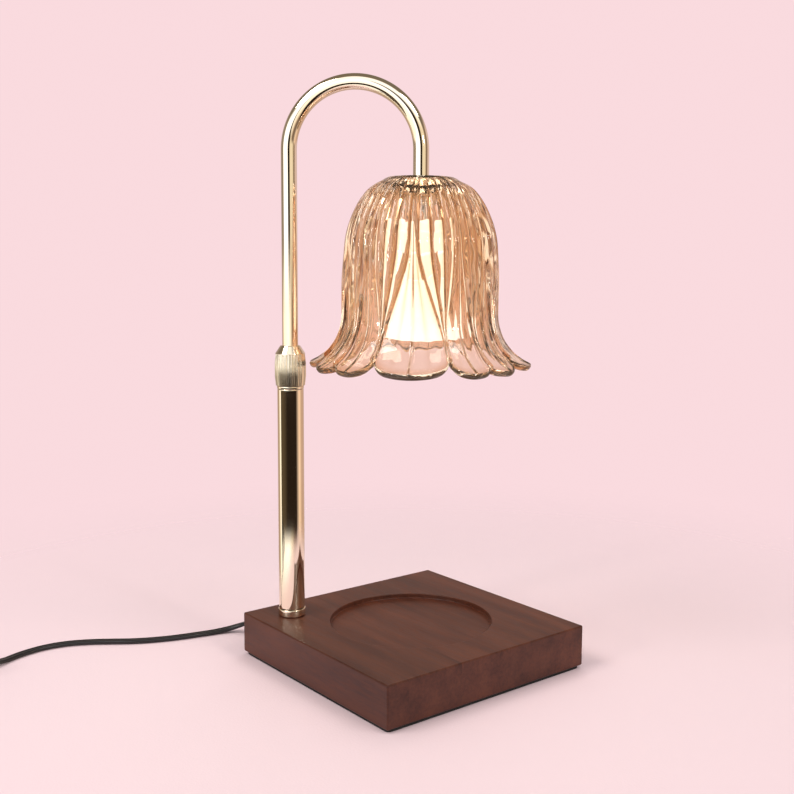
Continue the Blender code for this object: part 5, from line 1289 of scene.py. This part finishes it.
def makeLamp(size):
    low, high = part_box("bulb_reflector")
    height, rim, wall = high.z - low.z, size["lampRim"], size["lampWall"]
    knots = [(r * rim, 0, low.z + up * height) for up, r in size["reflector"]]
    outside = [(p.x, p.z) for p in evenly(smoothCurve(knots, 8), 0.0012)]
    inside = [(r - wall, z) for r, z in outside[:-1]]
    floorHeight = outside[-1][1] - wall
    neck = [(0.0048, outside[-1][1]), (0.0048, floorHeight), (outside[-1][0] - 2 * wall, floorHeight)]
    inside = [p for p in inside if p[1] < floorHeight - 0.0006]
    spunAtShade("lampReflector", "lamp", "bulb_reflector", "coated_glass", outside + neck + inside[::-1], 96, 0)
    low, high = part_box("bulb_lens")
    outer = rim * 0.995 - wall - 0.0003
    lens = [(0, low.z + 0.0004), (outer * 0.6, low.z + 0.0002), (outer, low.z), (outer, high.z), (0, high.z)]
    spunAtShade("lampLens", "lamp", "bulb_lens", "lamp_glass", lens)
    low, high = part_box("bulb_capsule")
    outer = (high.x - low.x) / 2
    nose = [
        (outer * math.sin(math.pi * i / 24), low.z + outer * (1 - math.cos(math.pi * i / 24))) for i in range(1, 12)
    ]
    capsule = [(0, low.z), *nose, (outer, low.z + outer), (outer, high.z - 0.001), (outer * 0.8, high.z), (0, high.z)]
    spunAtShade("lampCapsule", "lamp", "bulb_capsule", "lamp_glass", capsule, 48, 0)


makeFittings(fittings)
makeLamp(fittings)
print("fittings and lamp made")


# Fittings on the cord

cordFittings = {
    "reliefBarrel": (0.0037, 0.0075),
    "reliefFlange": (0.0055, 0.0018),
    "reliefTail": (0.018, 0.00445, 0.00325),
    "reliefGrooves": 4,
    "reliefGrooveDepth": 0.0006,
    "shellCorner": 0.006,
    "shellEdge": 0.0015,
    "wheelTeeth": 16,
    "wheelTooth": 0.0004,
    "wheelBore": 0.0015,
    "pocket": (0.0086, 0.00335),
    "axle": (0.0015, 0.0083),
    "shellScrewHead": (0.0024, 0.0016),
    "shellScrewShank": (0.0013, 0.0099),
    "shellScrewInset": 0.011,
    "shellScrewSink": 0.0012,
    "plugNeck": (0.0085, 0.0065),
    "plugCorner": 0.45,
    "plugGrips": 4,
    "plugGripDepth": 0.0006,
    "plugShares": ((0.0, 0.0), (0.22, 0.06), (0.42, 0.55), (0.55, 0.85), (0.70, 1.0), (0.94, 1.0), (1.0, 0.93)),
    "tieThickness": 0.0008,
}


def makeRelief(size):
    gap = 0.0003
    barrel, barrelLength = size["reliefBarrel"]
    flange, flangeThickness = size["reliefFlange"]
    tailLength, root, tip = size["reliefTail"]
    outline = [(0, -barrelLength), (barrel, -barrelLength), (barrel, gap), (flange, gap), (flange, gap + flangeThickness)]
    parts = 2 * size["reliefGrooves"] + 1
    for i in range(parts):
        depth = size["reliefGrooveDepth"] if i % 2 else 0.0
        for along in (i, i + 1):
            radius = root + (tip - root) * along / parts - depth
            outline.append((radius, gap + flangeThickness + along * tailLength / parts))
    outline.append((0, gap + flangeThickness + tailLength))
    low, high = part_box("wood_base")
    place = Matrix.Translation((low.x, polePlace.y, flatLead["exit"][2])) @ Matrix.Rotation(-math.pi / 2, 4, "Y")
    mesh = meshOf(spun(outline, 64, 0.0002), place)
    finishPiece("strainRelief", mesh, "base", ["strain_relief"], "black_vinyl")


def makeDimmer(size):
    lowerLow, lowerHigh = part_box("dimmer_lower_shell")
    upperLow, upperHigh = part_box("dimmer_upper_shell")
    wheelLow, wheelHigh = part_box("dimmer_wheel")
    middle = (lowerLow + lowerHigh) / 2
    place = Matrix.Translation((middle.x, middle.y, 0))
    long, wide = lowerHigh.y - lowerLow.y, lowerHigh.x - lowerLow.x
    edge = size["shellEdge"]
    arc = [(edge * (1 - math.sin(math.pi * i / 12)), edge * (1 - math.cos(math.pi * i / 12))) for i in range(7)]

    def shellRing(inset, height):
        return softRectangle(wide - 2 * inset, long - 2 * inset, size["shellCorner"] - inset, height, 10)

    lowerRings = [shellRing(inset, lowerLow.z + up) for inset, up in arc]
    lowerRings += [shellRing(0, lowerHigh.z - 0.0003), shellRing(0.0002, lowerHigh.z)]
    upperRings = [shellRing(0.0002, upperLow.z), shellRing(0, upperLow.z + 0.0003)]
    upperRings += [shellRing(inset, upperHigh.z - up) for inset, up in arc[::-1]]
    pocket, pocketHalf = size["pocket"]
    axle, axleHalf = size["axle"]
    hollow = [(0, -axleHalf), (axle, -axleHalf), (axle, -pocketHalf), (pocket, -pocketHalf)]
    hollow += [(r, -z) for r, z in hollow[::-1]]
    wheelHeight = (wheelLow.z + wheelHigh.z) / 2
    turned = Matrix.Translation((0, 0, wheelHeight)) @ Matrix.Rotation(math.pi / 2, 4, "Y")
    for name, node, rings in (
        ("dimmerLower", "dimmer_lower_shell", lowerRings),
        ("dimmerUpper", "dimmer_upper_shell", upperRings),
    ):
        shell = cutWith(loftedMesh(rings), meshOf(spun(hollow, 64, 0), turned))
        shell.transform(place)
        finishPiece(name, shell, "base", [node], "black_vinyl", even=True)
    wheelRadius, half = (wheelHigh.z - wheelLow.z) / 2, (wheelHigh.x - wheelLow.x) / 2
    teeth, tooth = size["wheelTeeth"], size["wheelTooth"]

    def rim(angle):
        return wheelRadius - tooth * (0.5 - 0.5 * math.tanh(3 * math.sin(teeth * angle)) / math.tanh(3))

    rings = []
    for radiusAt, x in (
        (lambda a: size["wheelBore"], -half),
        (lambda a: rim(a) - 0.0005, -half),
        (lambda a: rim(a) - 0.0001, -half + 0.0004),
        (rim, -half + 0.0008),
        (rim, half - 0.0008),
        (lambda a: rim(a) - 0.0001, half - 0.0004),
        (lambda a: rim(a) - 0.0005, half),
        (lambda a: size["wheelBore"], half),
    ):
        rings.append(nutRing(radiusAt, lambda a, x=x: x, teeth * 12))
    mesh = loftedMesh(rings, closed=True, place=place @ turned)
    finishPiece("dimmerWheelRim", mesh, "dimmer_wheel", ["dimmer_wheel"], "black_vinyl")
    head, headHeight = size["shellScrewHead"]
    shank, length = size["shellScrewShank"]
    screw = crossScrew(head, headHeight, shank, length)
    screw.transform(Matrix.Rotation(math.pi, 4, "X"))
    reach = long / 2 - size["shellScrewInset"]
    top = lowerLow.z + size["shellScrewSink"] + headHeight
    screws = placedCopies(screw, [(0, side * reach, top) for side in (-1, 1)], "zinc_steel")
    screws.transform(place)
    finishPiece("dimmerScrews", screws, "base", ["dimmer_screw_1", "dimmer_screw_2"], "zinc_steel")


def makePlug(size):
    low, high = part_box("plug_body")
    middle = (low + high) / 2
    wide, tall, long = high.x - low.x, high.z - low.z, high.y - low.y
    neckWide, neckTall = size["plugNeck"]
    rings = []
    for point in evenly(smoothCurve([(along, grow, 0) for along, grow in size["plugShares"]]), 0.035):
        along, grow = min(1.0, point.x), min(1.0, max(0.0, point.y))
        phase = (along - 0.04) / 0.24 * size["plugGrips"]
        grip = size["plugGripDepth"] * max(0.0, math.sin(math.pi * phase)) if 0 < phase < size["plugGrips"] else 0.0
        width = neckWide + (wide - neckWide) * grow - grip
        height = neckTall + (tall - neckTall) * grow - grip
        flat = softRectangle(width, height, height * size["plugCorner"], 0, 8)
        rings.append([(x, along * long, z) for x, z, _ in flat])
    place = Matrix.Translation((middle.x, low.y, middle.z))
    bladeLow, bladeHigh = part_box("plug_blade_1")
    bladeSize, bladeMiddle = bladeHigh - bladeLow, (bladeLow + bladeHigh) / 2 - place.translation
    otherLow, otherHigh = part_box("plug_blade_2")
    places = [(0, 0, 0), ((otherLow.x + otherHigh.x) / 2 - middle.x - bladeMiddle.x, 0, 0)]
    slots = [boxMesh(bladeSize + Vector((0.0006, 0.0006, 0.0006)), bladeMiddle + Vector(shift)) for shift in places]
    body = cutWith(loftedMesh(rings), *slots)
    body.transform(place)
    finishPiece("plugBody", body, "base", ["plug_body"], "black_vinyl", smoothAngle=40)
    blade = boxMesh(bladeSize, bladeMiddle, 0.0003)
    hole = meshOf(spun([(0, -0.003), (0.0015, -0.003), (0.0015, 0.003), (0, 0.003)], 32, 0))
    tip = Vector((bladeMiddle.x, bladeMiddle.y + bladeSize.y / 2 - 0.0042, bladeMiddle.z))
    hole.transform(Matrix.Translation(tip) @ Matrix.Rotation(math.pi / 2, 4, "Y"))
    blades = placedCopies(cutWith(blade, hole), places, "blade_brass")
    blades.transform(place)
    finishPiece("plugBlades", blades, "base", ["plug_blade_1", "plug_blade_2"], "blade_brass")


def makeTie(size):
    low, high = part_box("cord_tie")
    middle = (low + high) / 2
    across, tall, half = high.x - low.x, high.z - low.z, (high.y - low.y) / 2
    thick, ease = size["tieThickness"], 0.0002
    corner = (tall / 2 - thick) / 2 + thick

    def loop(inset, y):
        flat = softRectangle(across - 2 * inset, tall - 2 * inset, corner - inset, 0, 6)
        return [(x, y, z) for x, z, _ in flat]

    rings = [loop(thick, -half + ease), loop(thick - ease, -half), loop(ease, -half), loop(0, -half + ease)]
    rings += [loop(0, half - ease), loop(ease, half), loop(thick - ease, half), loop(thick, half - ease)]
    mesh = loftedMesh(rings, closed=True, place=Matrix.Translation(middle))
    finishPiece("coilTie", mesh, "base", ["cord_tie"], "black_vinyl", smoothAngle=50)


makeRelief(cordFittings)
makeDimmer(cordFittings)
makePlug(cordFittings)
makeTie(cordFittings)
print("cord fittings made")


# Floor, world and lamps

studio = {
    "floorColour": (0.86, 0.68, 0.71, 1),
    "floorRadius": 1.0,
    "floorFade": (0.16, 0.55),
    "mirroredFade": (0.17, 0.30),
    "flagRadius": 0.45,
    "flagInner": (0.26, 0.34),
    "flagHeight": 0.135,
    "flagFrom": 0.648,
    "flagTo": 1.05,
    "flagColour": (0.022, 0.014, 0.009, 1),
    "flagOlive": (0.10, 0.072, 0.042, 1),
    "backdrop": (0.955, 0.705, 0.735, 1),
    "shadeMiddle": 0.20,
    "ambient": (1.0, 0.97, 0.96, 1),
    "ambientStrength": 0.55,
    "roomStops": (
        (0.000, (0.95, 0.82, 0.62)),
        (0.070, (0.90, 0.76, 0.55)),
        (0.085, (0.26, 0.18, 0.12)),
        (0.165, (0.30, 0.21, 0.15)),
        (0.195, (0.80, 0.60, 0.55)),
        (0.400, (0.62, 0.48, 0.44)),
        (0.520, (0.34, 0.28, 0.23)),
        (0.662, (0.28, 0.23, 0.18)),
        (0.680, (1.60, 1.62, 1.66)),
        (0.856, (1.60, 1.62, 1.66)),
        (0.862, (0.022, 0.014, 0.010)),
        (0.932, (0.022, 0.014, 0.010)),
        (0.944, (0.95, 0.82, 0.60)),
    ),
    "lowStops": (
        (0.000, (0.26, 0.16, 0.10)),
        (0.060, (0.20, 0.16, 0.13)),
        (0.130, (1.10, 0.80, 0.60)),
        (0.210, (0.60, 0.40, 0.30)),
        (0.400, (0.60, 0.44, 0.40)),
        (0.580, (0.45, 0.33, 0.22)),
        (0.600, (1.25, 1.15, 0.95)),
        (0.850, (1.45, 1.42, 1.36)),
        (0.930, (1.20, 1.05, 0.85)),
        (1.000, (0.26, 0.16, 0.10)),
    ),
    "bentRings": (
        (0.00, (0.80, 0.50, 0.32)),
        (0.03, (0.14, 0.06, 0.035)),
        (0.055, (0.12, 0.05, 0.03)),
        (0.09, (1.60, 1.50, 1.40)),
        (0.16, (1.40, 1.25, 1.10)),
        (0.21, (0.60, 0.30, 0.14)),
        (0.30, (0.10, 0.045, 0.025)),
        (0.36, (0.85, 0.48, 0.24)),
        (0.46, (0.90, 0.66, 0.56)),
        (1.00, (0.92, 0.71, 0.72)),
    ),
    "bentStops": (
        (0.00, (0.50, 0.24, 0.11)),
        (0.06, (1.30, 1.20, 1.10)),
        (0.11, (0.36, 0.17, 0.09)),
        (0.22, (0.85, 0.55, 0.36)),
        (0.33, (0.30, 0.14, 0.08)),
        (0.45, (1.35, 1.25, 1.15)),
        (0.52, (0.45, 0.22, 0.10)),
        (0.66, (0.75, 0.50, 0.38)),
        (0.80, (1.30, 1.20, 1.12)),
        (0.90, (0.20, 0.11, 0.08)),
        (1.00, (0.50, 0.24, 0.11)),
    ),
}


def mirrorRays(tree):
    # Light bent by the glass also counts as glossy, so it is taken out
    paths = nodeIn(tree, "ShaderNodeLightPath").outputs
    others = calc(tree, "MAXIMUM", paths["Is Transmission Ray"], paths["Is Shadow Ray"])
    return calc(tree, "MULTIPLY", paths["Is Glossy Ray"], calc(tree, "SUBTRACT", 1.0, others))


def makeFloor(settings):
    bm = bmesh.new()
    bmesh.ops.create_circle(bm, cap_ends=True, radius=settings["floorRadius"], segments=96)
    mesh = bpy.data.meshes.new("floor")
    bm.to_mesh(mesh)
    bm.free()
    floor = bpy.data.objects.new("floor", mesh)
    bpy.context.scene.collection.objects.link(floor)
    material, tree, shader = newMaterial("paperFloor", settings["floorColour"][:3], Roughness=0.85, Specular_IOR_Level=0.2)
    axes = nodeIn(tree, "ShaderNodeSeparateXYZ", {"Vector": ownPlace(tree)}).outputs
    distance = calc(tree, "SQRT", calc(tree, "ADD", calc(tree, "MULTIPLY", axes["X"], axes["X"]), calc(tree, "MULTIPLY", axes["Y"], axes["Y"])))
    mirrored = mirrorRays(tree)
    fades = []
    for near, far in (settings["floorFade"], settings["mirroredFade"]):
        inputs = {"Value": distance, "From Min": near, "From Max": far}
        fades.append(nodeIn(tree, "ShaderNodeMapRange", inputs, interpolation_type="SMOOTHSTEP").outputs["Result"])
    fade = nodeIn(tree, "ShaderNodeMix", {"Factor": mirrored, "A": fades[0], "B": fades[1]}).outputs["Result"]
    clear = nodeIn(tree, "ShaderNodeBsdfTransparent").outputs[0]
    mixed = nodeIn(tree, "ShaderNodeMixShader", {0: fade, 1: shader.outputs[0], 2: clear}).outputs[0]
    tree.links.new(mixed, tree.nodes["Material Output"].inputs["Surface"])
    bumped(tree, shader, noiseAt(tree, ownPlace(tree), 700, 3), 0.0003, 0.4)
    mesh.materials.append(material)


def makeFlag(settings):
    # A low dark card in front, which only mirrors see: it gives the pole its dark band
    mesh = bpy.data.meshes.new("darkCard")
    verts, faces = [], []
    steps = 64
    far, near = settings["flagRadius"], settings["flagInner"][0]
    for i in range(steps + 1):
        angle = math.tau * (settings["flagFrom"] + (settings["flagTo"] - settings["flagFrom"]) * i / steps)
        for reach, height in ((near, 0.0004), (far, 0.0004), (far, settings["flagHeight"])):
            verts.append((polePlace.x + reach * math.cos(angle), polePlace.y + reach * math.sin(angle), height))
    for i in range(steps):
        for k in (0, 1):
            faces.append((3 * i + k, 3 * i + k + 3, 3 * i + k + 4, 3 * i + k + 1))
    mesh.from_pydata(verts, [], faces)
    card = bpy.data.objects.new("darkCard", mesh)
    bpy.context.scene.collection.objects.link(card)
    material, tree, shader = newMaterial("darkCard", settings["flagColour"][:3])
    axes = nodeIn(tree, "ShaderNodeSeparateXYZ", {"Vector": ownPlace(tree)}).outputs
    east, north = (calc(tree, "SUBTRACT", axes[way], getattr(polePlace, way.lower())) for way in "XY")
    reach = calc(tree, "SQRT", calc(tree, "ADD", calc(tree, "MULTIPLY", east, east), calc(tree, "MULTIPLY", north, north)))
    inner = {"Value": reach, "From Min": settings["flagInner"][0], "From Max": settings["flagInner"][1]}
    inner = nodeIn(tree, "ShaderNodeMapRange", inner, interpolation_type="SMOOTHSTEP").outputs["Result"]
    edge = {"Value": axes["Z"], "From Min": settings["flagHeight"] * 0.92, "From Max": settings["flagHeight"]}
    edge = nodeIn(tree, "ShaderNodeMapRange", edge).outputs["Result"]
    shown = calc(tree, "MULTIPLY", inner, calc(tree, "SUBTRACT", 1.0, edge))
    seen = calc(tree, "MULTIPLY", mirrorRays(tree), shown)
    leftward = math.radians(photoCamera["azimuth"])
    leftward = calc(
        tree, "SUBTRACT", calc(tree, "MULTIPLY", east, -math.cos(leftward)), calc(tree, "MULTIPLY", north, math.sin(leftward))
    )
    olive = {"Value": calc(tree, "DIVIDE", leftward, reach), "From Min": 0.30, "From Max": 0.98}
    olive = nodeIn(tree, "ShaderNodeMapRange", olive, interpolation_type="SMOOTHSTEP").outputs["Result"]
    colour = mixColours(tree, olive, settings["flagColour"], settings["flagOlive"])
    dark = nodeIn(tree, "ShaderNodeEmission", {"Color": colour, "Strength": 1.0}).outputs[0]
    clear = nodeIn(tree, "ShaderNodeBsdfTransparent").outputs[0]
    mixed = nodeIn(tree, "ShaderNodeMixShader", {0: seen, 1: clear, 2: dark}).outputs[0]
    tree.links.new(mixed, tree.nodes["Material Output"].inputs["Surface"])
    mesh.materials.append(material)


def setStops(ramp, stops):
    for element, (position, colour) in zip(ramp.elements, (stops[0], stops[-1])):
        element.position, element.color = position, (*colour, 1)
    for position, colour in stops[1:-1]:
        ramp.elements.new(position).color = (*colour, 1)


def makeWorld(settings):
    world = bpy.data.worlds.new("studio")
    bpy.context.scene.world = world
    world.use_nodes = True
    tree = world.node_tree
    tree.nodes.clear()
    way = nodeIn(tree, "ShaderNodeTexCoord").outputs["Generated"]
    axes = nodeIn(tree, "ShaderNodeSeparateXYZ", {"Vector": way}).outputs
    turn = calc(tree, "ARCTAN2", axes["Y"], axes["X"])
    turn = calc(tree, "FRACT", calc(tree, "ADD", calc(tree, "DIVIDE", turn, math.tau), 1.0))
    bands = nodeIn(tree, "ShaderNodeValToRGB", {"Fac": turn})
    setStops(bands.color_ramp, settings["roomStops"])
    tableSide = nodeIn(tree, "ShaderNodeValToRGB", {"Fac": turn})
    setStops(tableSide.color_ramp, settings["lowStops"])
    turnAway, dip = math.radians(photoCamera["azimuth"]), math.radians(photoCamera["lookDown"])
    ahead = (-math.sin(turnAway) * math.cos(dip), math.cos(turnAway) * math.cos(dip), -math.sin(dip))
    alike = nodeIn(tree, "ShaderNodeVectorMath", {0: way, 1: ahead}, operation="DOT_PRODUCT").outputs["Value"]
    low = nodeIn(tree, "ShaderNodeMapRange", {"Value": axes["Z"], "From Min": 0.01, "From Max": -0.06}).outputs["Result"]
    room = mixColours(tree, low, bands.outputs["Color"], tableSide.outputs["Color"])
    forward = nodeIn(
        tree, "ShaderNodeMapRange", {"Value": alike, "From Min": -0.64, "From Max": -0.40}, interpolation_type="SMOOTHSTEP"
    ).outputs["Result"]
    ceiling = mixColours(tree, forward, (1.45, 1.40, 1.35, 1), (0.20, 0.165, 0.12, 1))
    upward = nodeIn(
        tree, "ShaderNodeMapRange", {"Value": axes["Z"], "From Min": 0.30, "From Max": 0.55}, interpolation_type="SMOOTHSTEP"
    ).outputs["Result"]
    room = mixColours(tree, upward, room, ceiling)
    paths = nodeIn(tree, "ShaderNodeLightPath").outputs
    diffuse = nodeIn(tree, "ShaderNodeBackground", {"Color": settings["ambient"], "Strength": settings["ambientStrength"]}).outputs[0]
    glossy = nodeIn(tree, "ShaderNodeBackground", {"Color": room, "Strength": 1.0}).outputs[0]
    seen = nodeIn(tree, "ShaderNodeBackground", {"Color": settings["backdrop"], "Strength": 1.0}).outputs[0]
    mixed = nodeIn(tree, "ShaderNodeMixShader", {0: paths["Is Glossy Ray"], 1: diffuse, 2: glossy}).outputs[0]
    # Light that the glass bends far sees the room's dark and bright sides instead of the backdrop
    middle = Vector((shadePlace.x, shadePlace.y, settings["shadeMiddle"]))
    onward = tuple((middle - Vector(photoCamera["place"])).normalized())
    close = nodeIn(tree, "ShaderNodeVectorMath", {0: way, 1: onward}, operation="DOT_PRODUCT").outputs["Value"]
    straight = nodeIn(
        tree, "ShaderNodeMapRange", {"Value": close, "From Min": 0.93, "From Max": 0.985}, interpolation_type="SMOOTHSTEP"
    ).outputs["Result"]
    sideways = nodeIn(tree, "ShaderNodeValToRGB", {"Fac": turn})
    setStops(sideways.color_ramp, settings["bentStops"])
    overhead = nodeIn(
        tree, "ShaderNodeMapRange", {"Value": axes["Z"], "From Min": 0.35, "From Max": 0.70}, interpolation_type="SMOOTHSTEP"
    ).outputs["Result"]
    turned = nodeIn(tree, "ShaderNodeMapRange", {"Value": close, "From Min": 0.97, "From Max": -0.60}).outputs["Result"]
    ringed = nodeIn(tree, "ShaderNodeValToRGB", {"Fac": turned})
    setStops(ringed.color_ramp, settings["bentRings"])
    bentColour = mixColours(tree, 0.2, ringed.outputs["Color"], sideways.outputs["Color"])
    bentColour = mixColours(tree, overhead, bentColour, (0.80, 0.60, 0.45, 1))
    under = nodeIn(tree, "ShaderNodeMapRange", {"Value": axes["Z"], "From Min": -0.55, "From Max": -0.30}).outputs["Result"]
    bentColour = mixColours(tree, under, settings["backdrop"], bentColour)
    bent = nodeIn(tree, "ShaderNodeBackground", {"Color": bentColour, "Strength": 1.0}).outputs[0]
    through = nodeIn(tree, "ShaderNodeMixShader", {0: straight, 1: bent, 2: seen}).outputs[0]
    mixed = nodeIn(tree, "ShaderNodeMixShader", {0: paths["Is Transmission Ray"], 1: mixed, 2: through}).outputs[0]
    mixed = nodeIn(tree, "ShaderNodeMixShader", {0: paths["Is Camera Ray"], 1: mixed, 2: seen}).outputs[0]
    tree.links.new(mixed, nodeIn(tree, "ShaderNodeOutputWorld").inputs["Surface"])


def makeLamps():
    lamps = (
        ("keySoftbox", -62, 48, 1.5, 0.60, 9.0, (1.0, 0.97, 0.94)),
        ("rightSoftbox", 58, 50, 1.5, 0.50, 5.0, (1.0, 0.96, 0.93)),
        ("backFill", 170, 55, 1.6, 0.70, 3.0, (1.0, 0.95, 0.95)),
        ("leftStrip", -48, 16, 1.2, 0.12, 1.6, (1.0, 0.98, 0.96)),
        ("rightStrip", 44, 20, 1.2, 0.10, 1.2, (1.0, 0.98, 0.96)),
    )
    for name, turn, rise, away, size, power, colour in lamps:
        light = bpy.data.lights.new(name, "AREA")
        light.shape, light.size, light.energy, light.color = "SQUARE", size, power, colour
        lamp = bpy.data.objects.new(name, light)
        bpy.context.scene.collection.objects.link(lamp)
        around = math.radians(photoCamera["azimuth"] + turn)
        up = math.radians(rise)
        way = Vector((math.sin(around) * math.cos(up), -math.cos(around) * math.cos(up), math.sin(up)))
        lamp.location = Vector((0, 0, 0.15)) + way * away
        lamp.rotation_mode = "QUATERNION"
        lamp.rotation_quaternion = way.to_track_quat("Z", "Y")
        lamp.visible_glossy = name != "backFill"


makeFloor(studio)
makeFlag(studio)
makeWorld(studio)
makeLamps()
print("stage and lights made")
